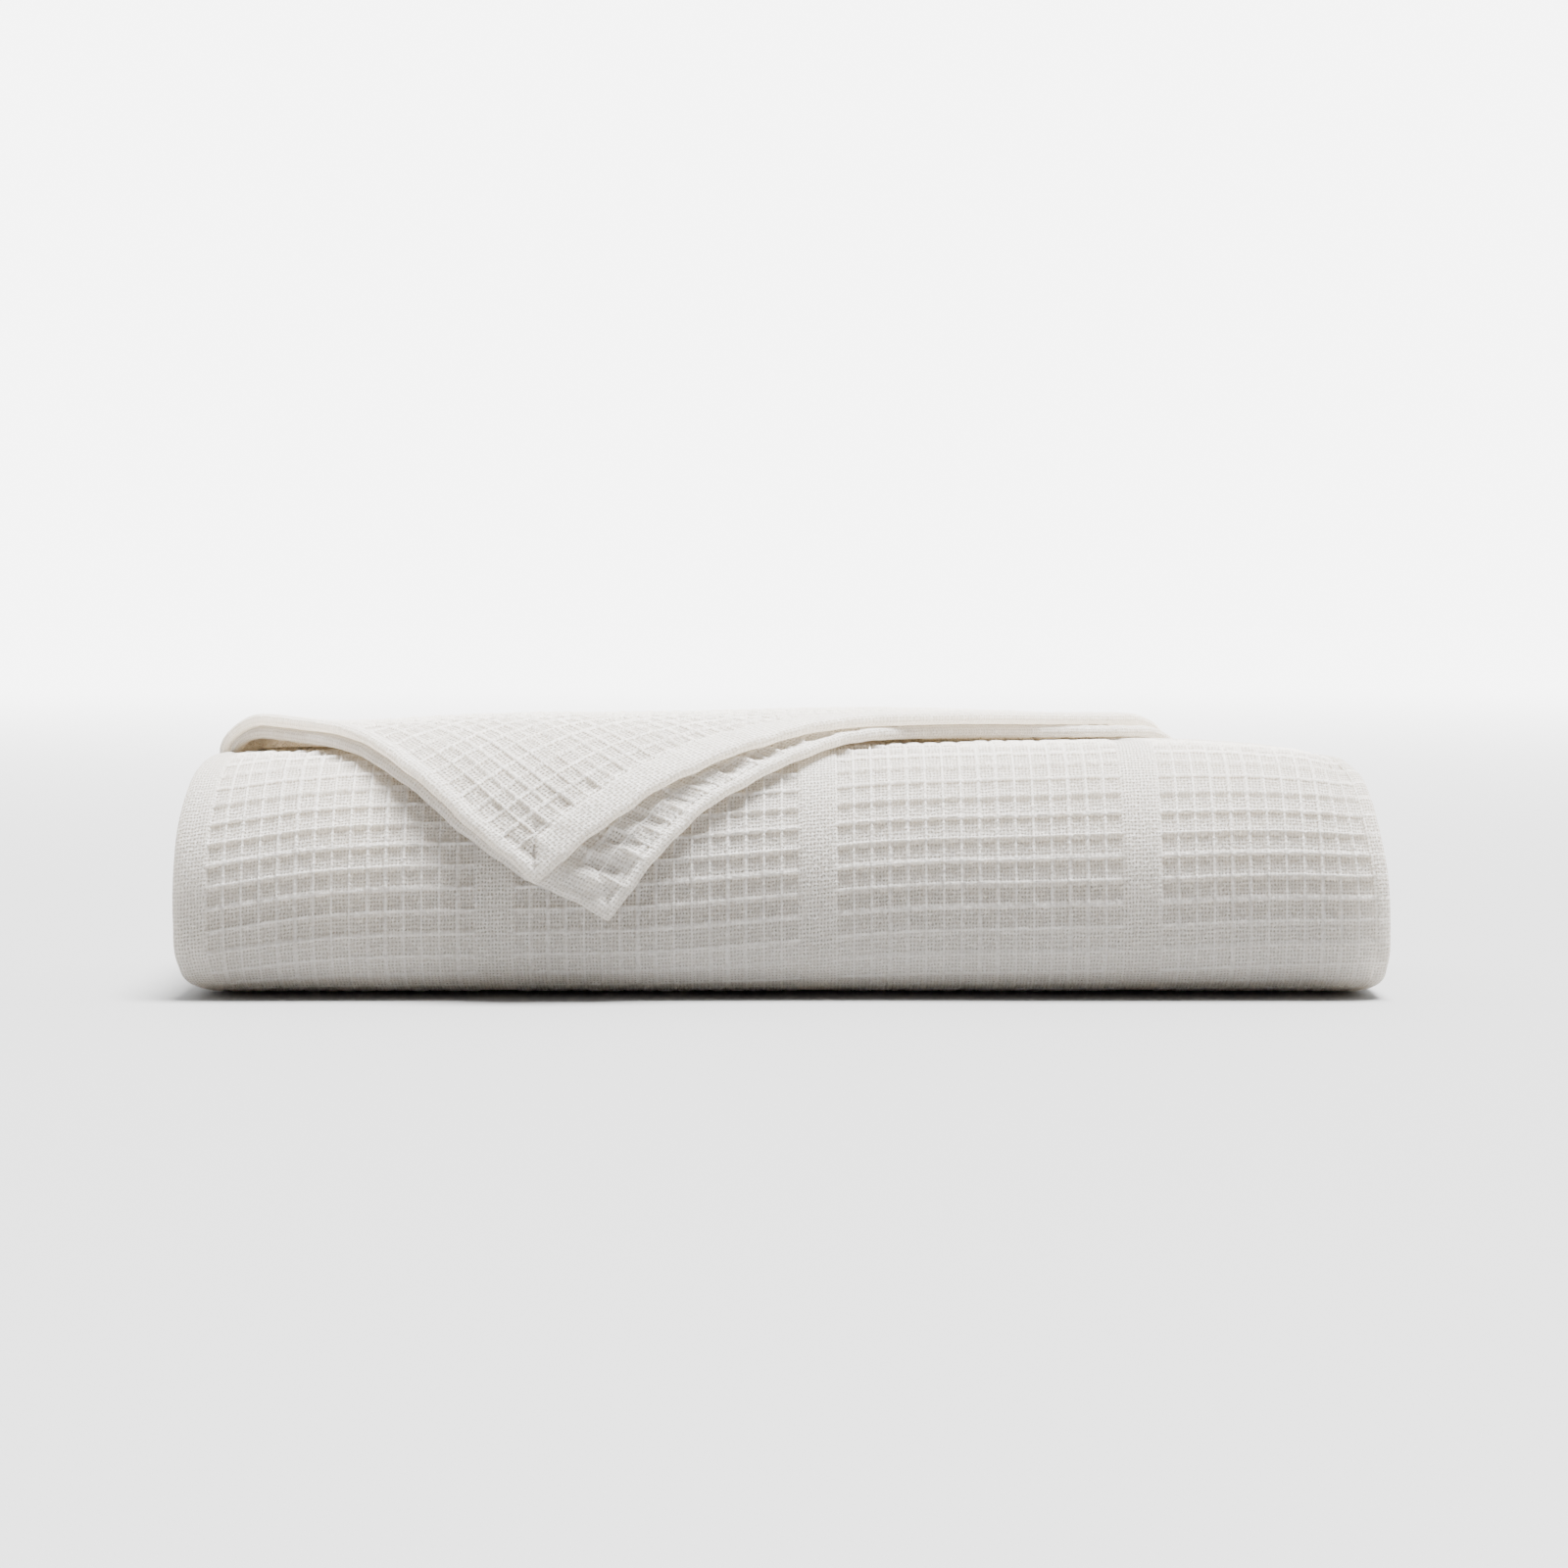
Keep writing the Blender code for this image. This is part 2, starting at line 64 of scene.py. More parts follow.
SQUARE_BELOW = 2.7
SAG = 0.29
FRONT_Y = -DEPTH / 2 + CENTRE_SHIFT
BACK_Y = DEPTH / 2 + CENTRE_SHIFT
FOLD_Y = FRONT_Y + FOLD_DEPTH
PITCH = (HEIGHT - CLOTH) / (2 * TURNS - 1)
BACK_OUTLINE = [
    (0.00, 0.0040),
    (0.25, 0.0010),
    (0.50, 0.0010),
    (0.70, 0.0030),
    (0.85, 0.0070),
    (1.00, 0.0150),
]
BACK_WOBBLE = 0.0012
BEND_PHASE = 0.7
BEND_PHASE_STEP = 2.3
END_OUTLINE = [
    (0.000, 0.0095, 0.0070),
    (0.004, 0.0040, 0.0024),
    (0.012, 0.0010, 0.0004),
    (0.028, 0.0000, 0.0000),
    (0.048, 0.0001, 0.0010),
    (0.062, 0.0008, 0.0030),
    (0.074, 0.0026, 0.0050),
    (0.082, 0.0046, 0.0074),
    (0.0875, 0.0075, 0.0115),
]
END_FADE = 0.030
END_ROUND = 0.018
FRONT_TURN_IN = 0.0100
BACK_TURN_IN = 0.0050
TOP_LINE = [
    (-0.213, 0.960),
    (-0.190, 0.966),
    (-0.150, 0.975),
    (-0.080, 0.990),
    (0.000, 1.000),
    (0.080, 1.005),
    (0.135, 1.018),
    (0.160, 1.010),
    (0.185, 0.984),
    (0.200, 0.960),
    (0.213, 0.945),
]
BACK_FALL = 0.030
FRONT_SWELLS = [
    (0.0012, 17.0, 1.2),
    (0.0007, 41.0, 0.4),
]
TOP_WAVE = 0.006
TOP_WAVE_X = 29.0
TOP_WAVE_Y = 11.0
BEYOND = 1.3
BACK_ROUND = 0.018
BACK_DROP = 0.016
BACK_SPARE = 0.010
TUCK_LENGTH = 0.014
TUCK = 0.0075
CURL_X = -0.1905
CORNER_BACK_S = -0.1560
LEFT_HEM = [
    (-0.1905, -0.0210, -0.1905, -0.0190),
    (-0.1690, 0.0010, -0.1690, 0.0005),
    (-0.1370, 0.0340, -0.1370, 0.0320),
    (-0.0980, 0.0690, -0.1000, 0.0655),
    (-0.0600, 0.0885, -0.0850, 0.0765),
]
RIGHT_HEM = [
    (0.1840, -0.1560, 0.1780, -0.1560),
    (0.1370, -0.1100, 0.1320, -0.1100),
    (0.0620, -0.0210, 0.0600, -0.0150),
    (0.0100, 0.0245, 0.0050, 0.0190),
    (-0.0300, 0.0540, -0.0400, 0.0440),
    (-0.0600, 0.0885, -0.0850, 0.0765),
]
PLY_COLUMN = {"lower": 0, "upper": 2}
PLY_STEP = 0.0049
REST_GAP = 0.0010
PUFF = 0.0032
PUFF_LENGTH = 0.030
PUFF_FADE = 0.110
PUFF_END_S = 0.045
PUFF_END_FADE = 0.060
HOLLOW = 0.0034
HOLLOW_LENGTH = 0.020
CURL_SPREAD = 0.0165
CURL_SINK = 0.0019
CURL_RISE = 0.0040
CURL_SLANT = 0.55
CURL_THIN = 0.35
HEM_RAMP = 0.0025

# ------------------------------------------------------------------ sizes of the weave
CELL_ACROSS = 0.00624       # waffle cell, ridge to ridge, across the front
CELL_ALONG = 0.00795        # and down the front
PANEL = 0.1125              # from one plain band to the next, across
BAND = 0.0127               # width of a plain band
BAND_CENTRE = 0.0125        # middle of one band, along X
BAND_RAMP = 0.0006          # the plain weave begins and ends within this
BAND_SINK = 0.0005          # and lies this far under the ridges
# The cloth is plain weave on the left up to here, one cell past the band at its edge.
LEFT_MARGIN = -0.19991
PANEL_COUNT = 100.0         # the panels number their cells this far apart
ROW_START = 0.00445         # place of one ridge along the section, from its back end
RELIEF = 0.0017             # depth of a cell under its ridges
LEVEL_RIDGE = 0.15          # half width of the level ridges, as a share of half a cell
UPRIGHT_RIDGE = 0.13        # half width of the upright ridges
UPRIGHT_SHARE = 0.80        # height of the upright ridges beside the level ones
FLOAT_ARCH = 0.36           # dip of a level ridge where an upright one crosses it
FLOAT_REACH = 0.5           # how far from the crossing it dips, as a share of half a cell
CELL_UNEVEN = 0.30          # difference in depth from cell to cell
RIDGE_UNEVEN = 0.32         # difference in height from ridge to ridge
UNEVEN_RATES = (12.9898, 78.233)    # a wave of these rates and this size scatters numbers
UNEVEN_SIZE = 43758.5453
RELIEF_INSET = 0.0050       # the relief of the faces stops this far from the ends
RELIEF_RAMP = 0.0020        # and takes this long to do so

PLY_RELIEF = 0.78           # the same depth on the corner, whose two faces both have it
PLY_CELL_U = 0.0067         # the corner hangs free, so that its cells draw together
PLY_CELL_V = 0.0055
PLY_CRISP = {"lower": 0.6, "upper": 1.0}            # how clearly their cells stand out in colour: the painted shade of their floors and the floats on their level ridges go with it
RIGHT_PLAIN = {"lower": 0.0050, "upper": 0.0125}    # plain weave along the hems
LEFT_PLAIN = {"lower": 0.0135, "upper": 0.0060}
PLAIN_RAMP = 0.0020
PLY_REACH = 0.285           # longest run of cloth in a ply, across its right hem
EDGE_LEAST = 0.08           # share of a hem's thickness that is left at its very edge
MITRE_LENGTH = 0.0185       # the seam across the corner of the hems, from the tip
MITRE_FADE = 0.004
MITRE_WIDTH = 0.0009
MITRE_DEPTH = 0.0008
WAVER = 0.00035             # unevenness of the hems, dying out over a short way
WAVER_REACH = 0.012
RIGHT_WAVER = [
    (1.0, 210.0, 0.0),
    (0.7, 470.0, 1.0),
]
LEFT_WAVER = [
    (1.0, 190.0, 2.0),
    (0.6, 430.0, 0.0),
]
PUCKER = {"lower": 0.00075, "upper": 0.00022}       # puckers of the cloth beside the hems
PUCKER_FROM = 0.014
PUCKER_REACH = 0.010
LEFT_PUCKER = 0.5           # their size along the left hem beside the right one's
# Waves of the puckers: share, rate along u, rate along v, start.
PUCKER_WAVES = [
    (1.0, 180.0, 560.0, 0.0),
    (0.6, -260.0, 350.0, 1.3),
]

# Hemmed end of the cloth on top: distance from its edge, thickness beside the cloth's.
TOP_HEM = [
    (0.0000, 0.25),
    (0.0003, 0.62),
    (0.0008, 0.90),
    (0.0016, 1.20),
    (0.0030, 1.35),
    (0.0060, 1.35),
    (0.0090, 1.30),
    (0.0115, 1.10),
    (0.0130, 0.95),
]

# Track of one ridge over the front: place along X, place along the section.
ROW_TRACK = [
    (-0.2125, 0.2055),
    (-0.1890, 0.2018),
    (-0.1620, 0.1982),
    (-0.1350, 0.1968),
    (-0.1080, 0.1963),
    (-0.0400, 0.1948),
    (0.0000, 0.1918),
    (0.0415, 0.1886),
    (0.0955, 0.1873),
    (0.1365, 0.1864),
    (0.1635, 0.1849),
    (0.2040, 0.1829),
    (0.2125, 0.1825),
]
FRONT_FLAT = 0.50           # how much flatter the relief lies low on the front, with less painted shade in its cells
FLAT_START = 0.186
FLAT_LENGTH = 0.030
TRACK_LEVEL = 0.1873        # place of that ridge in the rows' own count
TRACK_START = (0.015, 0.070)    # rows take up the track between these places
TRACK_END = (0.270, 0.350)      # and leave it again between these

# ------------------------------------------------------------------ mesh steps
OUTER_ANGLES = 120          # steps round the fold of the outer turn
INNER_ANGLES = 40           # and of those inside
ARM_STEPS = 24              # steps along each arm of a turn
BEND_STEPS = 12             # and round a bend at the back
CELL_STEPS = [0.0, 0.085, 0.22, 0.50, 0.78, 0.915]    # mesh lines in a cell, as shares
PLY_STEPS = [0.0, 0.10, 0.28, 0.72, 0.90]             # and in a cell of the corner
# Mesh lines of a hem, from its round edge inwards.
HEM_LINES = [0.0, 0.00025, 0.0007, 0.0013, 0.0021, 0.0035, 0.0050, 0.0065, 0.0080, 0.0095]
BAND_LINES = 8              # mesh lines through a band
CELL_LINE_APART = 0.0002    # mesh lines keep this far from the first and last of a stretch
FACE_LINE_APART = 0.0003    # and from those of a whole face
INNER_ROW = 0.0028          # row step of the layers inside
INNER_ENDS = [0.0052, 0.008, 0.014, 0.026]      # their columns, from the ends
INNER_MIDDLE = 0.15         # and between this and its mirror
INNER_MIDDLE_LINES = 6
FRONT_SHARE = 0.70          # part of the outer turn that belongs to the front's stretch
OVERLAP = 0.0005            # stretches of the cloth run this far into each other
BEND_ROW = 0.0014           # row step of the back bends
BEND_REACH = 0.0055         # how far a bend's stretch runs into the arms
BEND_RELIEF = 0.55          # share of the cells' depth that stays where the cloth bends
RELIEF_FADE = 0.0030
FACE_INSET = 0.0052         # from the ends to the first mesh line of a face
HIDDEN_STEP = 3             # the hidden face keeps one point in this many
EDGE_FLAT = 0.0045          # from the ends to where the edges of the layers begin
EDGE_INSET = 0.0006         # a layer's own edge stops this far inside the width
EDGE_LINES = 9              # points round a layer's own edge
CURL_LINES = 6              # and along one that turns to meet its neighbour
HULL_STEP = 0.0005          # steps of the outer surface that the corner lies on
HULL_ROUND_STEPS = 60
HULL_FOLD_STEPS = 300
HEM_CURVE_STEPS = 400
CURL_STEPS = 200

# ------------------------------------------------------------------ yarns and colours
SQUARE_U = 0.00120          # a square of the plain weave: two yarns over two
SQUARE_V = 0.00145
YARN_DIVE = 0.6             # power by which a yarn dives at the sides of its square
PINHOLE_TAPER = 1.9         # how quickly a gap closes, away from where four squares meet
PINHOLE_FROM = 0.32         # gaps are open where the tangle is over this
PINHOLE_GAIN = 3.4
HEM_CLOSED = 0.20           # share of a gap that the second layer of a hem closes
LEVEL_FLOAT = 5.0           # how narrow the floats lie on the level ridges
UPRIGHT_FLOAT = 5.5
CELL_SHADE_EDGE = 4.0            # how sharply the painted shade of a cell's floor begins
# Noises over the cloth: waves to a metre, detail.
WANDER_NOISE = (380.0, 3.0)
TANGLE_NOISE = (560.0, 4.0)
FUZZ_NOISE = (1700.0, 3.0)
PATCH_NOISE = (24.0, 3.0)
YARN_WANDER = 0.0015        # how far the yarns wander
# What raises the surface, and what makes its colour lighter or darker, painted shade among it.
BUMP_WEIGHTS = {
    "yarns": 0.6,
    "pinholes": -0.8,
    "fuzz": 0.8,
    "tangle": 2.4,
}
BUMP_STRENGTH = 0.8
BUMP_HEIGHT = 0.00040
LIGHT_START = 0.66
TONE_AND_SHADE_WEIGHTS = {
    # painted shade: each cell's floor darker than its ridges
    "floor_shade": -0.33,
    # painted shade in the gaps between the yarns
    "pinholes": -0.85,
    # and more painted shade in the gaps of the bands' plain weave
    "band pinholes": -0.35,
    # painted shade: each yarn lighter on its crown and darker where it dives under its neighbour
    "yarns": 0.24,
    "bands": -0.23,
    "hems": -0.13,
    "tangle": 1.15,
    "fuzz": 0.16,
    "patches": 0.12,
}
# From the dark, warm colour of the painted shade in the gaps and cells to the white of the ridges.
COTTON_AND_SHADE_COLOURS = [
    (0.00, (0.16, 0.145, 0.13)),
    (0.55, (0.56, 0.54, 0.51)),
    (1.00, (0.92, 0.91, 0.89)),
]
COTTON_FINISH = {
    "Roughness": 0.92,
    "Specular IOR Level": 0.2,
    "Sheen Weight": 0.2,
    "Sheen Roughness": 0.5,
}
THROUGH = 0.48              # share of the light that passes through the open weave
THROUGH_COLOUR = (0.98, 0.91, 0.80)

# ------------------------------------------------------------------ camera and light
PHOTO_SIZE = 1600
PIXEL = 0.000339            # metres to a pixel at the front of the blanket
CAMERA_DISTANCE = 1.5
CAMERA_ELEVATION = math.radians(2.2)
CAMERA_TARGET = (0.0007, FRONT_Y, 0.0752)
SENSOR = 36.0
ROOM_FRONT = 0.42           # light of the room in front of the blanket
ROOM_BACK = 6.8             # and behind it
ROOM_TURN = 0.2             # the change begins this far in front, as a direction's Y
ROOM_SOFT = 0.1
LAMP_POWER = 28.5
LAMP_WIDTH = math.radians(28.0)
LAMP_PLACE = (0.25, 0.10, 1.5)
FLOOR_HALF = 60.0
FLOOR_DROP = 0.0002         # the floor lies this far under the blanket
FLOOR_NEAR = 0.3            # its painted shade, darkest near the blanket, lightens between these distances
FLOOR_FAR = 7.0
# painted shade: the floor's colour close to the blanket
FLOOR_SHADE_GREY = 0.26
FLOOR_WHITE = 0.59
FLOOR_FINISH = {
    "Roughness": 0.9,
    "Specular IOR Level": 0.1,
}


# ------------------------------------------------------------------ numbers
def smooth_step(share):
    """Ease from 0 to 1, flat at both ends."""
    share = np.clip(share, 0.0, 1.0)
    return share * share * (3.0 - 2.0 * share)


def smooth_table(places, values, at):
    """Read a table between its rows along a smooth curve."""
    places = np.asarray(places, dtype=float)
    values = np.asarray(values, dtype=float)
    at = np.clip(at, places[0], places[-1])
    slopes = np.gradient(values, places)
    row = np.clip(np.searchsorted(places, at, side="right") - 1, 0, len(places) - 2)
    span = places[row + 1] - places[row]
    t = (at - places[row]) / span
    start = (1 + 2 * t) * (1 - t) ** 2 * values[row] + t * (1 - t) ** 2 * span * slopes[row]
    end = t * t * (3 - 2 * t) * values[row + 1] + t * t * (t - 1) * span * slopes[row + 1]
    return start + end


def uneven(a, b):
    """A repeatable number from 0 to 1 for a pair of whole numbers."""
    wave = np.sin(a * UNEVEN_RATES[0] + b * UNEVEN_RATES[1])
    return np.modf(np.abs(wave * UNEVEN_SIZE))[0]


def waves(table, length):
    """Sum of waves along a length, from rows of share, rate and start."""
    return sum(share * np.sin(rate * length + start) for share, rate, start in table)


# ------------------------------------------------------------------ section of the layers
def turn_half_height(turn):
    """Half the height of a turn, between the middles of its two layers."""
    return (TURNS - turn - 0.5) * PITCH


def fold_line(turn, angle):
    """Middle line of a turn's front fold. The angle runs from 90 degrees above to -90 below."""
    outerness = 1.0 - turn / (TURNS - 1)
    half = turn_half_height(turn)
    outer_half = turn_half_height(0)
    squareness = np.where(angle > 0, SQUARE_ABOVE, SQUARE_BELOW)
    power = 2.0 / (2.0 + (squareness - 2.0) * outerness)
    rise = np.sign(angle) * np.abs(np.sin(angle)) ** power
    forward = np.clip(np.cos(angle), 0.0, 1.0) ** power
    stretch = 1.0 + ((FOLD_DEPTH - CLOTH / 2) / outer_half - 1.0) * outerness
    y = FOLD_Y - stretch * half * forward
    z = HEIGHT / 2 + half * (rise - SAG * outerness * (1.0 - rise ** 2))
    return y, z


def back_end(height, turn):
    """Where a layer at this height stops and bends, along Y."""
    shares, insets = zip(*BACK_OUTLINE)
    inset = float(smooth_table(shares, insets, height / HEIGHT))
    wobble = BACK_WOBBLE * math.sin(BEND_PHASE_STEP * turn + BEND_PHASE)
    return BACK_Y - PITCH / 2 - CLOTH / 2 - inset + wobble


def turn_line(turn, above_end, below_end):
    """Middle line of one turn, from its back end above, round the front, to below."""
    half = turn_half_height(turn)
    steps = OUTER_ANGLES if turn == 0 else INNER_ANGLES
    angles = np.linspace(math.pi / 2, -math.pi / 2, steps + 1)
    fold = np.stack(fold_line(turn, angles), axis=1)
    above = np.linspace(above_end, FOLD_Y, ARM_STEPS, endpoint=False)
    below = np.linspace(FOLD_Y, below_end, ARM_STEPS + 1)[1:]
    upper = np.stack([above, np.full(len(above), HEIGHT / 2 + half)], axis=1)
    lower = np.stack([below, np.full(len(below), HEIGHT / 2 - half)], axis=1)
    return np.vstack([upper, fold, lower])


def bend_line(y, z_from, z_to):
    """Points of a half-round bend at the back, without its two ends."""
    radius = (z_to - z_from) / 2
    angles = np.linspace(0.0, math.pi, BEND_STEPS + 1)[1:-1]
    return np.stack([y + abs(radius) * np.sin(angles),
                     (z_from + z_to) / 2 - radius * np.cos(angles)], axis=1)


def cloth_line():
    """Middle line of the cloth in section, and the point numbers where its turns begin and end."""
    middle = HEIGHT / 2
    above = []
    below = []
    for turn in range(TURNS):
        above_pair = (turn + 1) // 2 * 2 - 1
        below_pair = turn // 2 * 2
        above_height = middle + turn_half_height(max(above_pair, 0))
        below_height = middle - turn_half_height(below_pair)
        above.append(back_end(above_height, above_pair))
        below.append(back_end(below_height, below_pair + TURNS))
    parts = []
    ends = []
    count = 0
    for turn in range(TURNS):
        points = turn_line(turn, above[turn], below[turn])
        goes_down = turn % 2 == 0
        if not goes_down:
            points = points[::-1]
        ends.append((count, count + len(points) - 1))
        parts.append(points)
        count += len(points)
        if turn < TURNS - 1:
            side = -1.0 if goes_down else 1.0
            z_from = middle + side * turn_half_height(turn)
            z_to = middle + side * turn_half_height(turn + 1)
            bend = bend_line(below[turn] if goes_down else above[turn], z_from, z_to)
            parts.append(bend)
            count += len(bend)
    return np.vstack(parts), ends


def line_lengths(points):
    """Length along a line at each of its points."""
    steps = np.linalg.norm(np.diff(points, axis=0), axis=1)
    return np.concatenate([[0.0], np.cumsum(steps)])


def off_line(line, length, height):
    """Point in section at a length along a line and a height over it."""
    lengths, points, slopes = line
    y, z, along_y, along_z = (np.interp(length, lengths, values)
                              for values in (*points.T, *slopes.T))
    size = np.hypot(along_y, along_z)
    return y + height * along_z / size, z - height * along_y / size


SECTION, TURN_ENDS = cloth_line()
SECTION_LENGTHS = line_lengths(SECTION)
SECTION_LINE = (SECTION_LENGTHS, SECTION, np.gradient(SECTION, SECTION_LENGTHS, axis=0))


def turn_lengths(turn):
    """Length along the section where a turn begins, and where it ends."""
    first, last = TURN_ENDS[turn]
    return SECTION_LENGTHS[first], SECTION_LENGTHS[last]


def settle(x, y, z):
    """Bring points of the ideal stack to the true, uneven, rounded one."""
    heights, left_insets, right_insets = zip(*END_OUTLINE)
    left = smooth_table(heights, left_insets, z)
    right = smooth_table(heights, right_insets, z)
    inset = np.where(x < 0, left, right)
    from_end = WIDTH / 2 - np.abs(x)
    fade = smooth_step(1.0 - from_end / END_FADE)
    new_x = x - np.sign(x) * inset * fade

    corner = np.clip(1.0 - from_end / END_ROUND, 0.0, 1.0)
    turned = 1.0 - np.sqrt(1.0 - corner ** 2)
    to_front = np.clip((CENTRE_SHIFT - y) / (DEPTH / 2), 0.0, BEYOND)
    to_back = np.clip((y - CENTRE_SHIFT) / (DEPTH / 2), 0.0, BEYOND)
    share = np.clip(z / HEIGHT, 0.0, BEYOND)
    belly = 4.0 * share * (1.0 - share)
    swell = waves(FRONT_SWELLS, x)
    new_y = y + turned * (FRONT_TURN_IN * to_front - BACK_TURN_IN * to_back)
    new_y = new_y + swell * to_front * np.clip(belly, 0.0, 1.0)

    places, shares = zip(*TOP_LINE)
    top = smooth_table(places, shares, x)
    fall = BACK_FALL * smooth_step((y - FOLD_Y) / (BACK_Y - FOLD_Y))
    roll = TOP_WAVE * np.sin(TOP_WAVE_X * x + TOP_WAVE_Y * y) * share
    new_z = z * (top - fall + roll)
    return new_x, new_y, new_z


# ------------------------------------------------------------------ relief of the weave
def ridge_gap(place):
    """0 on a ridge and 1 midway to the next, for a place counted in cells."""
    return 2.0 * np.abs(place - np.round(place))


def waffle(u, v, plain, crisp):
    """Relief of waffle cloth under its ridges, and the marks that the yarns follow.

    u and v count cells. plain is 1 where the cloth is plain weave, with no cells. crisp is
    1 where the ridges stand up, and less where they are pulled flat.
    """
    gap_u = ridge_gap(u)
    gap_v = ridge_gap(v)
    level_uneven = RIDGE_UNEVEN * uneven(np.floor(u), np.round(v))
    upright_uneven = RIDGE_UNEVEN * uneven(np.round(u), np.floor(v) + 0.5)
    level = np.exp(-(gap_v / LEVEL_RIDGE) ** 2) * (1.0 - level_uneven)
    level = level * (1.0 - FLOAT_ARCH * (1.0 - smooth_step(gap_u / FLOAT_REACH)))
    upright = UPRIGHT_SHARE * np.exp(-(gap_u / UPRIGHT_RIDGE) ** 2) * (1.0 - upright_uneven)
    cell = 1.0 + CELL_UNEVEN * (uneven(np.floor(u), np.floor(v)) - 0.5)
    sink = RELIEF * cell * crisp * (1.0 - np.maximum(level, upright))
    sink = sink * (1.0 - plain) + BAND_SINK * plain
    return sink, gap_u, gap_v


def cell_lines(start, stop, cell, origin, steps=CELL_STEPS):
    """Mesh lines from start to stop that follow the cells' ridges, feet and floors."""
    first = math.floor((start - origin) / cell)
    last = math.ceil((stop - origin) / cell)
    lines = [origin + (number + share) * cell
             for number in range(first, last + 1) for share in steps]
    inside = [line for line in lines if start + CELL_LINE_APART < line < stop - CELL_LINE_APART]
    return np.array([start] + inside + [stop])


def band_number(x):
    """Number of the panel at a place along X, and the place's distance past its band's start."""
    number = np.floor((x - BAND_CENTRE + BAND / 2) / PANEL)
    return number, x - BAND_CENTRE + BAND / 2 - number * PANEL


def body_cells(x):
    """Place along X counted in cells, and how plain the cloth is there."""
    number, past = band_number(x)
    plain = smooth_step((BAND - past) / BAND_RAMP + 0.5) * smooth_step(past / BAND_RAMP + 0.5)
    plain = np.maximum(plain, smooth_step((LEFT_MARGIN - x) / BAND_RAMP + 0.5))
    return (past - BAND) / CELL_ACROSS + PANEL_COUNT * number, plain


def body_relief(x, rows, crisp):
    """Relief and marks of the blanket's cloth, for places along X and rows along the section."""
    cells, plain = body_cells(x)
    relief = waffle(cells, (rows[:, None] - ROW_START) / CELL_ALONG, plain, crisp)
    return *relief, plain


def across_lines(start, stop):
    """Mesh lines along X from start to stop, on the cells' ridges and through the bands."""
    lines = []
    first = int(band_number(start)[0])
    last = int(band_number(stop)[0])
    for number in range(first, last + 1):
        band_start = BAND_CENTRE - BAND / 2 + number * PANEL
        lines.extend(np.linspace(band_start, band_start + BAND, BAND_LINES, endpoint=False))
        lines.extend(cell_lines(band_start + BAND, band_start + PANEL, CELL_ACROSS,
                                band_start + BAND)[:-1])
    lines = np.array(lines)
    inside = lines[(lines > start + FACE_LINE_APART) & (lines < stop - FACE_LINE_APART)]
    return np.concatenate([[start], inside, [stop]])


def face_lines():
    """Mesh lines along X over a whole face, between its turned edges."""
    return across_lines(-WIDTH / 2 + FACE_INSET, WIDTH / 2 - FACE_INSET)


def row_wander(x, v):
    """How far a row strays along the section from its true place."""
    places, track = zip(*ROW_TRACK)
    stray = smooth_table(places, track, x) - TRACK_LEVEL
    taken = smooth_step((v - TRACK_START[0]) / (TRACK_START[1] - TRACK_START[0]))
    left = smooth_step((v - TRACK_END[0]) / (TRACK_END[1] - TRACK_END[0]))
    return stray * taken * (1.0 - left)


# ------------------------------------------------------------------ meshes
def new_mesh(name, points, corners, starts):
    """A mesh from points, face corners, and where each face starts in them."""
    mesh = bpy.data.meshes.new(name)
    mesh.vertices.add(len(points))
    mesh.vertices.foreach_set("co", np.asarray(points, dtype=np.float32).ravel())
    mesh.loops.add(len(corners))
    mesh.loops.foreach_set("vertex_index", np.asarray(corners, dtype=np.int32))
    mesh.polygons.add(len(starts))
    mesh.polygons.foreach_set("loop_start", np.asarray(starts, dtype=np.int32))
    mesh.update(calc_edges=True)
    return mesh


def new_object(name, data):
    """A new object in the scene, for a mesh, a light or a camera."""
    thing = bpy.data.objects.new(name, data)
    bpy.context.scene.collection.objects.link(thing)
    return thing


def new_piece(name, points, corners, starts, cloth_map, weave, material):
    """A piece of cloth from its mesh data, cloth map and marks of the weave."""
    mesh = new_mesh(name, points, corners, starts)
    mesh.validate()
    layer = mesh.uv_layers.new(name="cloth")
    layer.data.foreach_set("uv", cloth_map[corners].astype(np.float32).ravel())
    marks = mesh.attributes.new("weave", "FLOAT_COLOR", "POINT")
    marks.data.foreach_set("color", weave.astype(np.float32).ravel())
    mesh.shade_smooth()
    mesh.materials.append(material)
    return new_object(name, mesh)


def grid_corners(rows, columns, closed=False, flip=False):
    """Face corners of a grid of points, row by row. closed joins the last column to the first."""
    row, column = np.meshgrid(np.arange(rows - 1), np.arange(columns - (0 if closed else 1)),
                              indexing="ij")
    after = (column + 1) % columns
    a = row * columns + column
    b = row * columns + after
    c = (row + 1) * columns + after
    d = (row + 1) * columns + column
    quads = np.stack([a, b, c, d], axis=-1).reshape(-1, 4)
    return quads[:, ::-1] if flip else quads


def spread(shape, *layers):
    """Arrays brought to one shape and set side by side, a row for each point."""
    brought = [np.broadcast_to(layer, shape) for layer in layers]
    return np.stack(brought, axis=-1).reshape(-1, len(layers))


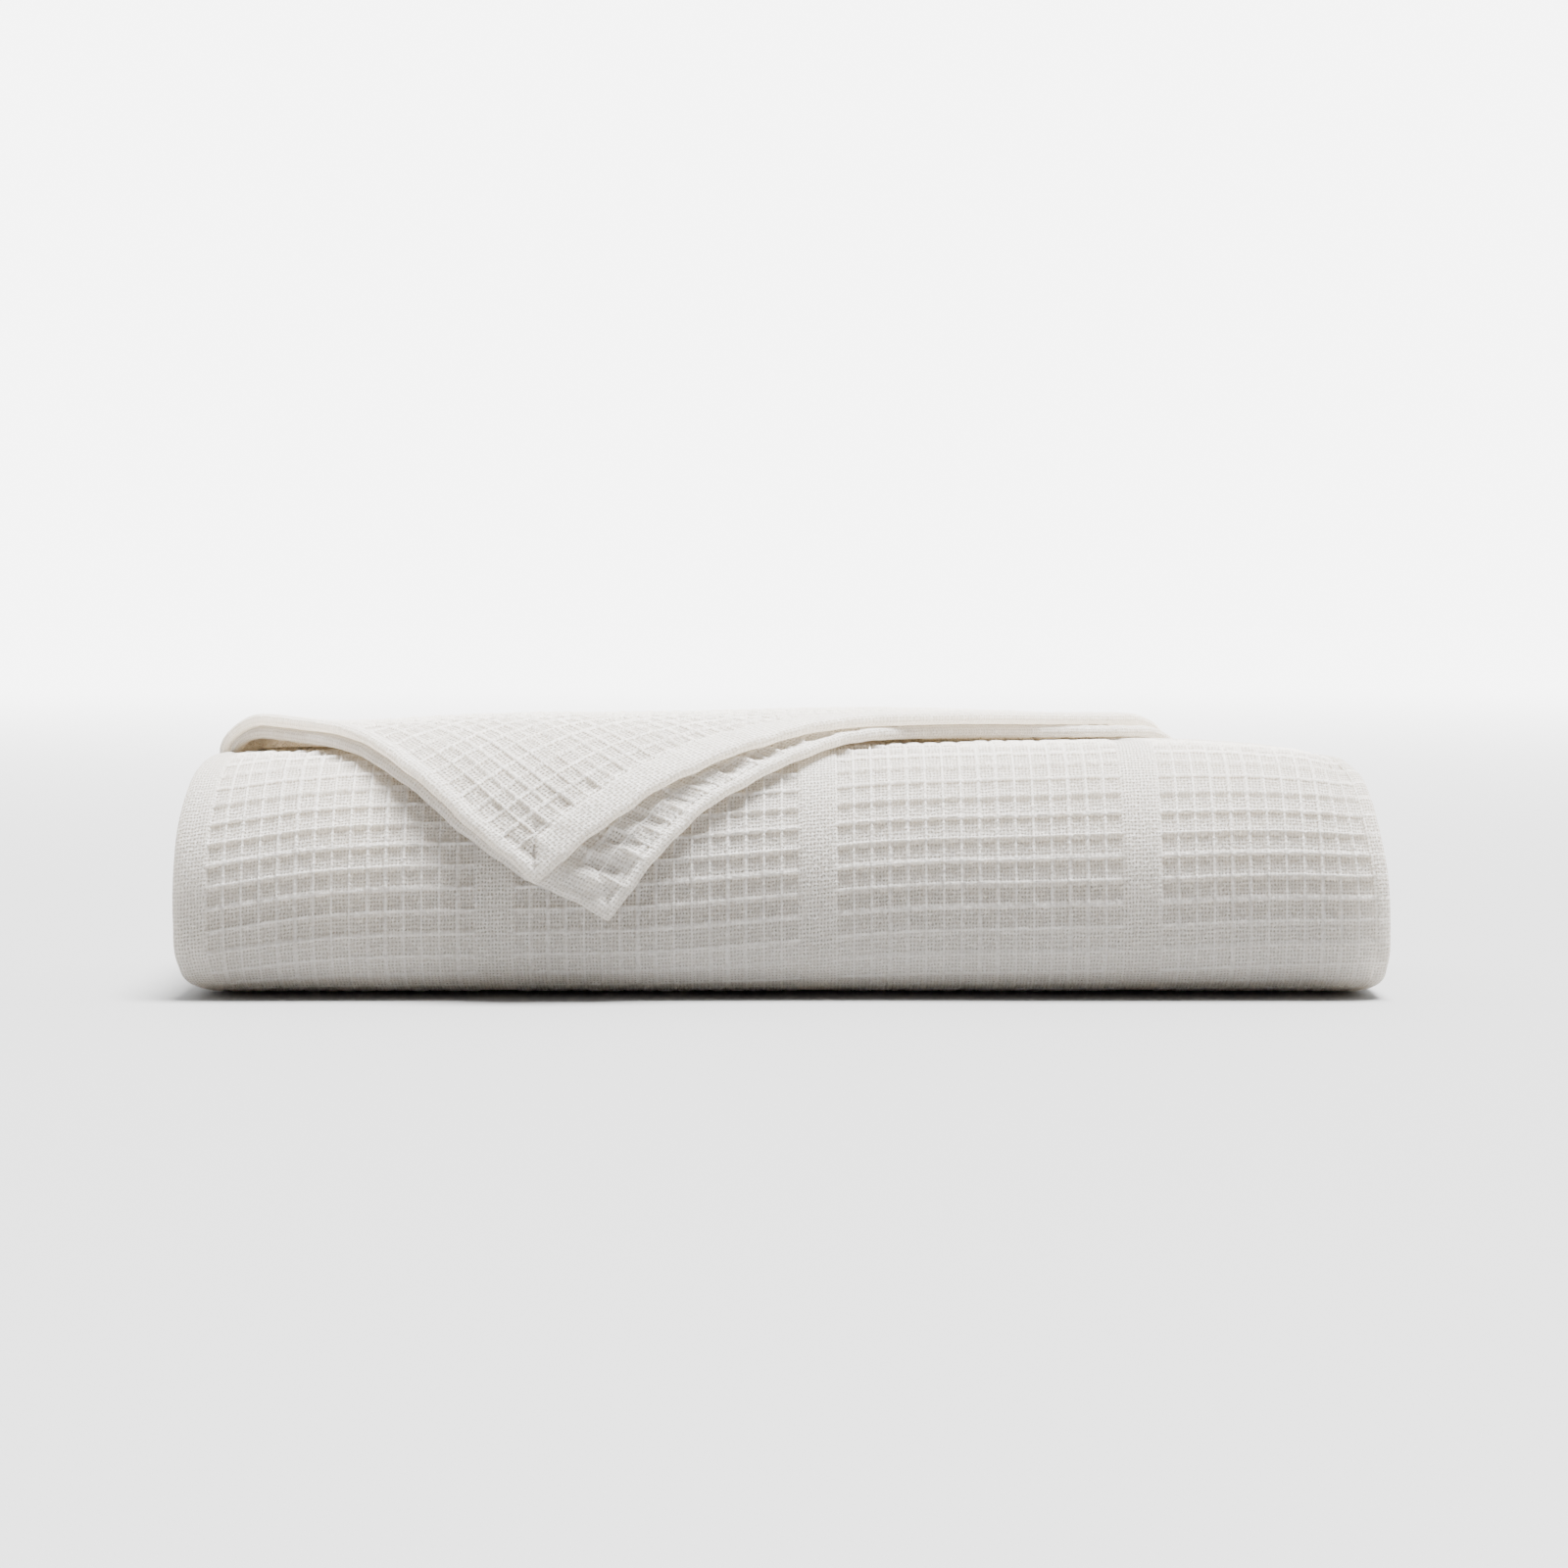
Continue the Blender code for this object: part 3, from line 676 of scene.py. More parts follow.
def edge_points(end, curl):
    """Section of the cloth's edge at an end, from its + face round to its - face.

    end is 1 at the right and -1 at the left. curl is 1 or -1 where the cloth turns to meet
    its neighbour in a round fold, and 0 where its own edge shows. Columns: x, height.
    """
    half = CLOTH / 2
    flat = WIDTH / 2 - EDGE_FLAT
    if curl == 0:
        angles = np.radians(np.linspace(90.0, -90.0, EDGE_LINES))
        x = WIDTH / 2 - half - EDGE_INSET + half * np.cos(angles)
        path = np.vstack([[flat, half], np.stack([x, half * np.sin(angles)], axis=1),
                          [flat, -half]])
        return path * np.array([end, 1.0])
    radius = PITCH / 2
    angles = np.radians(np.linspace(0.0, 90.0, CURL_LINES))
    middle = np.stack([WIDTH / 2 - half - radius + radius * np.sin(angles),
                       radius * (1.0 - np.cos(angles))], axis=1)
    across = half * np.stack([-np.sin(angles), np.cos(angles)], axis=1)
    path = np.vstack([[flat, half], middle + across, (middle - across)[::-1], [flat, -half]])
    if curl < 0:
        path = path[::-1] * np.array([1.0, -1.0])
    return path * np.array([end, 1.0])


def edge_curl(turn, end):
    """Which way a turn's edge curls, towards its + face or its - face, or 0.

    Of three turns, one curls inward, one outward to meet it, and one keeps its own edge.
    """
    inward = {-1: (1, -1, 0), 1: (0, 1, -1)}[end][turn % 3]
    return -inward if turn % 2 == 0 else inward


def loop_section(columns, left_curl, right_curl):
    """Section across the width: x and height, and the numbers of its + face's points.

    The + face runs from left to right along the given columns, between the two edges.
    """
    left = edge_points(-1, left_curl)[::-1]
    right = edge_points(1, right_curl)
    middle = np.stack([columns, np.full(len(columns), CLOTH / 2)], axis=1)
    return np.vstack([left, middle, right]), len(left), len(left) + len(middle)


def turn_section(turn, columns):
    """Section across the width of a turn, with its own two edges."""
    return loop_section(columns, edge_curl(turn, -1), edge_curl(turn, 1))


def path_lengths(section, first):
    """Cloth place across of each point of a section, true to x at the given point."""
    lengths = line_lengths(section)
    return lengths - lengths[first] + section[first, 0]


def sweep(section, lengths, wander=True, recess=None, thick=None):
    """Points of a section swept along the cloth, row by row, settled into place."""
    x = np.broadcast_to(section[:, 0], (len(lengths), len(section)))
    height = np.broadcast_to(section[:, 1], x.shape)
    if thick is not None:
        height = height * thick[:, None]
    if recess is not None:
        height = height - recess
    v = np.broadcast_to(lengths[:, None], x.shape)
    place = v + row_wander(x, v) if wander else v
    y, z = off_line(SECTION_LINE, place, height)
    return np.stack(settle(x, y, z), axis=-1)


# ------------------------------------------------------------------ the outer turn
def outer_stretch(name, start, stop, material):
    """One fine stretch of the outer turn, with its relief and its turned edges."""
    section, first, last = turn_section(0, face_lines())
    rows = cell_lines(start, stop, CELL_ALONG, ROW_START)
    crisp = 1.0 - FRONT_FLAT * smooth_step((rows[:, None] - FLAT_START) / FLAT_LENGTH)
    sink, gap_u, gap_v, plain = body_relief(section[:, 0], rows, crisp)
    on_face = np.zeros(len(section))
    on_face[first:last] = 1.0
    from_end = WIDTH / 2 - RELIEF_INSET - np.abs(section[:, 0])
    on_face = on_face * smooth_step(from_end / RELIEF_RAMP)
    points = sweep(section, rows, recess=sink * on_face[None, :])
    quads = grid_corners(len(rows), len(section), flip=True)
    thing = new_piece(name, points.reshape(-1, 3), quads.ravel(), np.arange(len(quads)) * 4,
                      spread(sink.shape, path_lengths(section, first), rows[:, None]),
                      spread(sink.shape, gap_u, gap_v, plain, crisp), material)
    declare(thing)
    return thing


# ------------------------------------------------------------------ the layers inside
def inner_columns():
    """Coarse places along X for a layer of which only the ends show."""
    ends = WIDTH / 2 - np.array(INNER_ENDS)
    middle = np.linspace(-INNER_MIDDLE, INNER_MIDDLE, INNER_MIDDLE_LINES)
    return np.concatenate([-ends, middle, ends[::-1]])


def closed_stretch(section, first, last, rows, thick=None, side=1.0, relief=0.0):
    """Points, faces, cloth map and marks of a stretch with both faces and capped ends.

    side is 1 where the section's first face is the + face, and -1 where it is the other.
    relief is the share of the cells' depth that this face has.
    """
    back = section[first:last][::-1] * np.array([1.0, -1.0])
    loop = np.vstack([section, back[::HIDDEN_STEP]])
    sink, gap_u, gap_v, plain = body_relief(loop[:, 0], rows, 1.0)
    on_face = np.zeros(len(loop))
    on_face[first:last] = relief * side
    fade = smooth_step((rows - rows[0]) / RELIEF_FADE)
    fade = fade * smooth_step((rows[-1] - rows) / RELIEF_FADE)
    points = sweep(loop * np.array([1.0, side]), rows, wander=False, thick=thick,
                   recess=sink * on_face[None, :] * fade[:, None])
    count = len(loop)
    quads = grid_corners(len(rows), count, closed=True, flip=side > 0)
    caps = [np.arange(count), (np.arange(count) + (len(rows) - 1) * count)[::-1]]
    if side < 0:
        caps = [cap[::-1] for cap in caps]
    shape = points.shape[:2]
    cloth_map = spread(shape, path_lengths(loop, first), rows[:, None])
    weave = spread(shape, gap_u, gap_v, plain, 1.0)
    return points.reshape(-1, 3), quads, caps, cloth_map, weave


def join_stretches(name, stretches, material):
    """One object from several stretches."""
    points, quads, caps, maps, marks = zip(*stretches)
    corners = []
    sizes = []
    offset = 0
    for part, part_quads, part_caps in zip(points, quads, caps):
        corners.append(part_quads.ravel() + offset)
        corners.extend(cap + offset for cap in part_caps)
        sizes.extend([4] * len(part_quads) + [len(cap) for cap in part_caps])
        offset += len(part)
    starts = np.cumsum([0] + sizes[:-1])
    return new_piece(name, np.vstack(points), np.concatenate(corners), starts,
                     np.vstack(maps), np.vstack(marks), material)


def inner_layers(material):
    """All turns inside the outer one, each from bend to bend."""
    stretches = []
    for turn in range(1, TURNS):
        start, stop = turn_lengths(turn)
        start += BEND_REACH - OVERLAP
        if turn < TURNS - 1:
            stop -= BEND_REACH - OVERLAP
        section, first, last = turn_section(turn, inner_columns())
        rows = np.linspace(start, stop, int((stop - start) / INNER_ROW))
        stretches.append(closed_stretch(section, first, last, rows))
    thing = join_stretches("inner_layers", stretches, material)
    declare(thing)
    return thing


def top_hem(material):
    """The hemmed end of the cloth on top, at the back."""
    start, _ = turn_lengths(0)
    section, first, last = turn_section(0, face_lines())
    places, shares = np.array(TOP_HEM).T
    stretch = closed_stretch(section, first, last, start + places, thick=shares)
    weave = stretch[-1]
    weave[:, 2] = 1.0
    weave[:, 3] = 0.0
    thing = join_stretches("top_hem", [stretch], material)
    declare(thing)
    return thing


def back_bends(material):
    """The bends at the back, with their relief."""
    section, first, last = loop_section(face_lines(), 0, 0)
    stretches = []
    for turn in range(TURNS - 1):
        start = turn_lengths(turn)[1] - (BEND_REACH if turn else 0.0)
        stop = turn_lengths(turn + 1)[0] + BEND_REACH
        outside = -1.0 if turn % 2 else 1.0
        rows = np.linspace(start, stop, int((stop - start) / BEND_ROW))
        stretches.append(closed_stretch(section, first, last, rows, side=outside,
                                        relief=BEND_RELIEF))
    thing = join_stretches("back_bends", stretches, material)
    declare(thing)
    return thing


# ------------------------------------------------------------------ the corner
def hull_line():
    """Outer surface in section: up the back, over the top, down the front fold.

    Lengths along it count from the top of the fold.
    """
    round_y = BACK_Y - BACK_ROUND
    drops = np.arange(BACK_DROP + BACK_SPARE, 0.0, -HULL_STEP)
    back = np.stack([np.full(len(drops), BACK_Y), HEIGHT - BACK_ROUND - drops], axis=1)
    angles = np.linspace(0.0, math.pi / 2, HULL_ROUND_STEPS)
    turn = np.stack([round_y + BACK_ROUND * np.cos(angles),
                     HEIGHT - BACK_ROUND + BACK_ROUND * np.sin(angles)], axis=1)
    places = np.arange(round_y - HULL_STEP, FOLD_Y, -HULL_STEP)
    top = np.stack([places, np.full(len(places), HEIGHT)], axis=1)
    angles = np.linspace(math.pi / 2, -math.pi / 2, HULL_FOLD_STEPS)
    fold = np.stack(fold_line(0, angles), axis=1)
    slopes = np.gradient(fold, line_lengths(fold), axis=0)
    normals = np.stack([slopes[:, 1], -slopes[:, 0]], axis=1)
    normals /= np.linalg.norm(normals, axis=1)[:, None]
    points = np.vstack([back, turn, top, fold + normals * CLOTH / 2])
    lengths = line_lengths(points)
    lengths = lengths - lengths[len(back) + len(turn) + len(top)]
    return lengths, points, np.gradient(points, lengths, axis=0)


HULL_LINE = hull_line()


def hem_curve(table, ply):
    """Points (x, s) of a hem from the tip on, and their distance from the tip."""
    column = PLY_COLUMN[ply]
    rows = np.array([row[column:column + 2] for row in table])
    places = line_lengths(rows) / line_lengths(rows)[-1]
    shares = np.linspace(1.0, 0.0, HEM_CURVE_STEPS)
    points = np.stack([smooth_table(places, rows[:, 0], shares),
                       smooth_table(places, rows[:, 1], shares)], axis=1)
    return points, line_lengths(points)


def along_hem(curve, distance, beyond):
    """Point of a hem at a distance from the tip, running on straight past its far end."""
    points, lengths = curve
    x = np.interp(distance, lengths, points[:, 0])
    s = np.interp(distance, lengths, points[:, 1])
    past = np.clip(distance - lengths[-1], 0.0, None)
    return np.stack([x + past * beyond[0], s + past * beyond[1]], axis=-1)


def ply_height(ply, x, s, from_left_hem, from_right_hem):
    """Height of the middle of a ply over the blanket's outer surface."""
    from_hem = np.minimum(from_left_hem, from_right_hem)
    puffed = PUFF * (1.0 - np.exp(-(from_hem / PUFF_LENGTH) ** 2))
    on_top = smooth_step((PUFF_END_S - s) / PUFF_END_FADE)
    on_top = on_top * smooth_step((x - CURL_X) / PUFF_FADE)
    hollow = HOLLOW * np.exp(-((x - CURL_X) / HOLLOW_LENGTH) ** 2)
    tucked = TUCK * smooth_step((CORNER_BACK_S + TUCK_LENGTH - s) / TUCK_LENGTH)
    step = PLY_STEP if ply == "upper" else 0.0
    return REST_GAP + HEM / 2 + puffed * on_top + hollow + step - tucked


def curl_sizes(ply):
    """Half width of a ply's curl, and its angles with the length of cloth up to each."""
    step = PLY_STEP if ply == "upper" else 0.0
    half_width = CURL_SPREAD + step
    rise = REST_GAP + HEM / 2 + HOLLOW + step
    angles = np.linspace(0.0, math.pi / 2 + math.asin(CURL_SINK / rise), CURL_STEPS)
    arc = np.stack([half_width * np.sin(angles), rise * np.cos(angles)], axis=1)
    return half_width, angles, line_lengths(arc)


def ply_middle(ply, x, s, u, v):
    """Middle surface of a ply for places on the laid-out surface."""
    half_width, angles, lengths = curl_sizes(ply)
    past = np.clip(CURL_X - x, 0.0, lengths[-1])
    angle = np.interp(past, lengths, angles)
    sheet_x = np.maximum(x, CURL_X)
    height = ply_height(ply, sheet_x, s, v, u)
    rise = np.maximum(height, CURL_RISE)
    y, z = off_line(HULL_LINE, s, height - rise * (1.0 - np.cos(angle)))
    return np.stack([sheet_x - half_width * np.sin(angle), y, z], axis=-1), angle / angles[-1]


def flat_ply(ply):
    """The ply's mesh laid out flat (x, s), cut to its outline, with its cloth map (u, v).

    u is the distance from the right hem and v from the left hem, and both hems run along
    the weave.
    """
    left = hem_curve(LEFT_HEM, ply)
    right = hem_curve(RIGHT_HEM, ply)
    u = ply_lines(PLY_REACH, PLY_CELL_U)
    v = ply_lines(right[1][-1], PLY_CELL_V)
    far = np.array([-1.0, -CURL_SLANT])
    far = far / np.linalg.norm(far)
    tip = left[0][0]
    along_left = along_hem(left, u, far)[:, None, :]
    along_right = along_hem(right, v, (0.0, -1.0))[None, :, :]
    flat = (along_left + along_right - tip).reshape(-1, 2)
    grid_u, grid_v = np.meshgrid(u, v, indexing="ij")
    quads = grid_corners(len(u), len(v))
    low_x = CURL_X - curl_sizes(ply)[-1][-1]
    keep = ((flat[quads][..., 0].max(axis=1) > low_x)
            & (flat[quads][..., 1].max(axis=1) > CORNER_BACK_S))
    quads = quads[keep]
    used, corners = np.unique(quads.ravel(), return_inverse=True)
    points = np.concatenate([flat[used], np.zeros((len(used), 1))], axis=1)
    mesh = new_mesh("flat", points, corners, np.arange(len(quads)) * 4)
    for name, values in (("cloth_u", grid_u), ("cloth_v", grid_v)):
        layer = mesh.attributes.new(name, "FLOAT", "POINT")
        layer.data.foreach_set("value", values.ravel()[used].astype(np.float32))
    trim(mesh, low_x, CORNER_BACK_S)
    return mesh


def trim(mesh, low_x, low_s):
    """Cut away what lies left of low_x and behind low_s in a mesh laid out flat."""
    build = bmesh.new()
    build.from_mesh(mesh)
    for place, normal in (((low_x, 0.0, 0.0), (-1.0, 0.0, 0.0)),
                          ((0.0, low_s, 0.0), (0.0, -1.0, 0.0))):
        everything = build.verts[:] + build.edges[:] + build.faces[:]
        bmesh.ops.bisect_plane(build, geom=everything, plane_co=place, plane_no=normal,
                               clear_outer=True)
    build.to_mesh(mesh)
    build.free()


def ply_lines(length, cell):
    """Mesh lines from a hem inwards: close at its round edge, then on the cells."""
    return np.concatenate([HEM_LINES, cell_lines(HEM_WIDTH - HEM_RAMP, length, cell, HEM_WIDTH,
                                                 PLY_STEPS)])


def read_values(data, key, size=1):
    """A value of each element of a mesh, as an array with size numbers for each."""
    values = np.zeros(len(data) * size, dtype=np.float32)
    data.foreach_get(key, values)
    values = values.astype(float)
    return values.reshape(-1, size) if size > 1 else values


def read_numbers(data, key):
    """A whole number of each element of a mesh, as an array."""
    numbers = np.zeros(len(data), dtype=np.int32)
    data.foreach_get(key, numbers)
    return numbers


def round_the_edge(distance):
    """Length of cloth from a hem's round edge to a place at this distance from it."""
    radius = HEM / 2
    angle = np.arccos(1.0 - np.clip(distance / radius, 0.0, 1.0))
    return radius * angle + np.clip(distance - radius, 0.0, None)


def hem_waver(u, v):
    """How far the hems waver along the section, and draw the cloth beside them with them."""
    along_right = np.exp(-u / WAVER_REACH) * waves(RIGHT_WAVER, v)
    along_left = np.exp(-v / WAVER_REACH) * waves(LEFT_WAVER, u)
    return WAVER * (along_right + along_left)


def puckers(ply, u, v):
    """Height of the small puckers that the stitching draws into the cloth beside a hem."""
    reach = np.exp(-((u - PUCKER_FROM) / PUCKER_REACH) ** 2)
    reach = reach + LEFT_PUCKER * np.exp(-((v - PUCKER_FROM) / PUCKER_REACH) ** 2)
    wave = sum(share * np.sin(rate_u * u + rate_v * v + start)
               for share, rate_u, rate_v, start in PUCKER_WAVES)
    rise = np.clip(np.minimum(u, v) / HEM, 0.0, 1.0)
    return PUCKER[ply] * reach * wave * rise


def ply_body(ply, u, v):
    """1 where a ply has cells, and 0 in its hems and in the plain weave along them."""
    in_u = smooth_step((u - RIGHT_PLAIN[ply] + PLAIN_RAMP) / PLAIN_RAMP)
    in_v = smooth_step((v - LEFT_PLAIN[ply] + PLAIN_RAMP) / PLAIN_RAMP)
    return np.where(u < v, in_u, in_v)


def ply_half(u, v, body, curl):
    """Half a ply's thickness: round at its edge, full in its hems, drawn in at their seam."""
    from_mitre = np.abs(u - v) / math.sqrt(2.0)
    mitred = smooth_step((MITRE_LENGTH - np.maximum(u, v)) / MITRE_FADE)
    mitre = MITRE_DEPTH * mitred * np.exp(-(from_mitre / MITRE_WIDTH) ** 2)
    thick = HEM + (CLOTH - HEM) * body - 2.0 * mitre
    from_edge = np.clip(np.minimum(u, v) / (HEM / 2), 0.0, 1.0)
    edge = EDGE_LEAST + (1.0 - EDGE_LEAST) * np.sqrt(1.0 - (1.0 - from_edge) ** 2)
    return thick / 2 * edge * (1.0 - CURL_THIN * curl)


def open_edges(corners, starts):
    """Both ends of each edge that only one face has, in that face's order."""
    after = np.arange(len(corners)) + 1
    after[np.append(starts[1:], len(corners)) - 1] = starts
    pairs = np.stack([corners, corners[after]], axis=1)
    keys = {}
    for number, (a, b) in enumerate(pairs.tolist()):
        keys.setdefault((min(a, b), max(a, b)), []).append(number)
    return np.array([pairs[numbers[0]] for numbers in keys.values() if len(numbers) == 1])


def both_sides(corners, starts, count):
    """Faces of a sheet of count points, of its other side, and of the rim between them."""
    rim = open_edges(corners, starts)
    rim_quads = np.stack([rim[:, 1], rim[:, 0], rim[:, 0] + count, rim[:, 1] + count], axis=1)
    stops = np.append(starts[1:], len(corners))
    under = np.concatenate([corners[a:b][::-1] for a, b in zip(starts, stops)]) + count
    all_corners = np.concatenate([corners, under, rim_quads.ravel()])
    rim_starts = 2 * len(corners) + np.arange(len(rim_quads)) * 4
    return all_corners, np.concatenate([starts, starts + len(corners), rim_starts])


def corner_ply(ply, material):
    """One ply of the corner: a sheet with hems, relief on both faces, and a curled side."""
    mesh = flat_ply(ply)
    place = read_values(mesh.vertices, "co", 3)
    u = read_values(mesh.attributes["cloth_u"].data, "value")
    v = read_values(mesh.attributes["cloth_v"].data, "value")
    middle, curl = ply_middle(ply, place[:, 0], place[:, 1] + hem_waver(u, v), u, v)
    mesh.vertices.foreach_set("co", middle.astype(np.float32).ravel())
    mesh.update()
    normals = read_values(mesh.vertex_normals, "vector", 3)
    if normals[:, 2].mean() < 0:
        normals = -normals

    body = ply_body(ply, u, v)
    sink, gap_u, gap_v = waffle((u - HEM_WIDTH) / PLY_CELL_U, (v - HEM_WIDTH) / PLY_CELL_V,
                                0.0, 1.0)
    raised = ply_half(u, v, body, curl) - sink * body * PLY_RELIEF
    points = []
    for side in (1.0, -1.0):
        face = middle + normals * (side * raised + puckers(ply, u, v))[:, None]
        points.append(np.stack(settle(face[:, 0], face[:, 1], face[:, 2]), axis=-1))

    corners, starts = both_sides(read_numbers(mesh.loops, "vertex_index"),
                                 read_numbers(mesh.polygons, "loop_start"), len(u))
    cloth_map = spread(u.shape, round_the_edge(u), round_the_edge(v))
    weave = spread(u.shape, gap_u, gap_v, 1.0 - body, body * PLY_CRISP[ply])
    thing = new_piece("corner_" + ply, np.vstack(points), corners, starts,
                      np.tile(cloth_map, (2, 1)), np.tile(weave, (2, 1)), material)
    bpy.data.meshes.remove(mesh)
    declare(thing)
    return thing


# ------------------------------------------------------------------ declaring the pieces
def declare(thing):
    """A piece is a stretch of the one folded cloth, and stands for the blanket's solid."""
    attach(thing, "root")
    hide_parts("blanket")


# ------------------------------------------------------------------ material
class Nodes:
    """Short ways to add and join the nodes of a material or a world."""

    def __init__(self, owner):
        owner.use_nodes = True
        self.tree = owner.node_tree

    def add(self, kind, **settings):
        node = self.tree.nodes.new(kind)
        for name, value in settings.items():
            setattr(node, name, value)
        return node

    def link(self, source, target):
        self.tree.links.new(source, target)

    def math(self, operation, *inputs, clamp=False):
        node = self.add("ShaderNodeMath", operation=operation, use_clamp=clamp)
        for socket, value in zip(node.inputs, inputs):
            if isinstance(value, (int, float)):
                socket.default_value = value
            else:
                self.link(value, socket)
        return node.outputs[0]

    def times(self, first, *others):
        """Product of values."""
        for other in others:
            first = self.math("MULTIPLY", first, other)
        return first

    def less(self, value, share):
        """A value, less this share of it."""
        return self.times(value, self.math("SUBTRACT", 1.0, share))

    def mix(self, share, first, second):
        """From the first value to the second, by a share."""
        return self.math("ADD", self.less(first, share), self.times(second, share))

    def fade(self, value, rate):
        """1 where a value is 0, falling to 0 at this rate."""
        return self.math("SUBTRACT", 1.0, self.times(value, rate), clamp=True)

    def total(self, values, weights):
        """Sum of the named values, each by its weight."""
        result = 0.0
        for name, weight in weights.items():
            result = self.math("MULTIPLY_ADD", values[name], weight, result)
        return result

    def noise(self, cloth, scale, detail):
        """Noise over the cloth map."""
        node = self.add("ShaderNodeTexNoise")
        node.inputs["Scale"].default_value = scale
        node.inputs["Detail"].default_value = detail
        self.link(cloth, node.inputs["Vector"])
        return node

    def ramp(self, share, colours, interpolation="LINEAR"):
        """Colour at a share, from rows of share and colour."""
        node = self.add("ShaderNodeValToRGB")
        node.color_ramp.interpolation = interpolation
        elements = node.color_ramp.elements
        for place, _ in colours[1:-1]:
            elements.new(place)
        for element, (place, colour) in zip(elements, colours):
            element.position = place
            element.color = (*colour, 1.0)
        self.link(share, node.inputs["Fac"])
        return node.outputs["Color"]


def new_material(name, finish):
    """A new material with this finish, its shader, and its nodes."""
    material = bpy.data.materials.new(name)
    nodes = Nodes(material)
    shader = material.node_tree.nodes["Principled BSDF"]
    for key, value in finish.items():
        shader.inputs[key].default_value = value
    return material, shader, nodes


def plain_weave(nodes, cloth):
    """Plain weave, two yarns over two: their height, and the gaps where four squares meet."""
    wander = nodes.noise(cloth, *WANDER_NOISE)
    shift = nodes.add("ShaderNodeVectorMath", operation="MULTIPLY_ADD")
    nodes.link(wander.outputs["Color"], shift.inputs[0])
    shift.inputs[1].default_value = (YARN_WANDER, YARN_WANDER, 0.0)
    nodes.link(cloth, shift.inputs[2])
    place = nodes.add("ShaderNodeSeparateXYZ")
    nodes.link(shift.outputs[0], place.inputs[0])
    square_u = nodes.math("DIVIDE", place.outputs["X"], SQUARE_U)
    square_v = nodes.math("DIVIDE", place.outputs["Y"], SQUARE_V)
    from_u = nodes.times(nodes.math("PINGPONG", square_u, 0.5), 2.0)
    from_v = nodes.times(nodes.math("PINGPONG", square_v, 0.5), 2.0)
    number = nodes.math("ADD", nodes.math("FLOOR", square_u), nodes.math("FLOOR", square_v))
    # Height of the yarns, highest on their crowns; in the colour it also gives painted shade where
    # they dive.
    yarns = nodes.mix(nodes.math("PINGPONG", number, 1.0),
                      nodes.math("POWER", from_u, YARN_DIVE),
                      nodes.math("POWER", from_v, YARN_DIVE))
    apart = nodes.math("ADD", nodes.times(from_u, from_u), nodes.times(from_v, from_v))
    return yarns, nodes.fade(apart, PINHOLE_TAPER)


def cloth_parts(nodes):
    """What the cloth's surface and its colour are made up of, by name."""
    cloth = nodes.add("ShaderNodeUVMap", uv_map="cloth").outputs["UV"]
    marks = nodes.add("ShaderNodeAttribute", attribute_name="weave")
    split = nodes.add("ShaderNodeSeparateColor")
    nodes.link(marks.outputs["Color"], split.inputs["Color"])
    gap_u, gap_v, plain = split.outputs[0], split.outputs[1], split.outputs[2]
    crisp = marks.outputs["Alpha"]
    cells = nodes.math("SUBTRACT", 1.0, plain)
    hems = nodes.less(plain, crisp)
    bands = nodes.times(plain, crisp)
    # Painted shade: the colour is darker in each cell's floor, away from its ridges, and less so
    # where crisp is low.
    floor_shade = nodes.math("MULTIPLY", nodes.math("MINIMUM", gap_u, gap_v), CELL_SHADE_EDGE, clamp=True)

    # Long floats lie along the ridges, with no gaps between them.
    on_level = nodes.times(nodes.fade(gap_v, LEVEL_FLOAT), crisp)
    on_upright = nodes.fade(gap_u, UPRIGHT_FLOAT)
    ridge = nodes.times(nodes.math("MAXIMUM", on_level, on_upright), cells)
    yarns, pinholes = plain_weave(nodes, cloth)
    tangle = nodes.noise(cloth, *TANGLE_NOISE).outputs["Fac"]
    # Gaps open between the yarns off the ridges where the tangle is high; the colour paints shade
    # into them, and the surface sinks there.
    open_here = nodes.math("MULTIPLY", nodes.math("SUBTRACT", tangle, PINHOLE_FROM),
                           PINHOLE_GAIN, clamp=True)
    pinholes = nodes.times(nodes.less(pinholes, ridge), open_here)
    pinholes = nodes.less(pinholes, nodes.times(hems, HEM_CLOSED))
    return {
        "yarns": yarns,
        "pinholes": pinholes,
        "band pinholes": nodes.times(pinholes, bands),
        "bands": bands,
        "hems": hems,
        "floor_shade": nodes.times(floor_shade, cells, crisp),
        "tangle": nodes.math("SUBTRACT", tangle, 0.5),
        "fuzz": nodes.noise(cloth, *FUZZ_NOISE).outputs["Fac"],
        "patches": nodes.noise(cloth, *PATCH_NOISE).outputs["Fac"],
    }


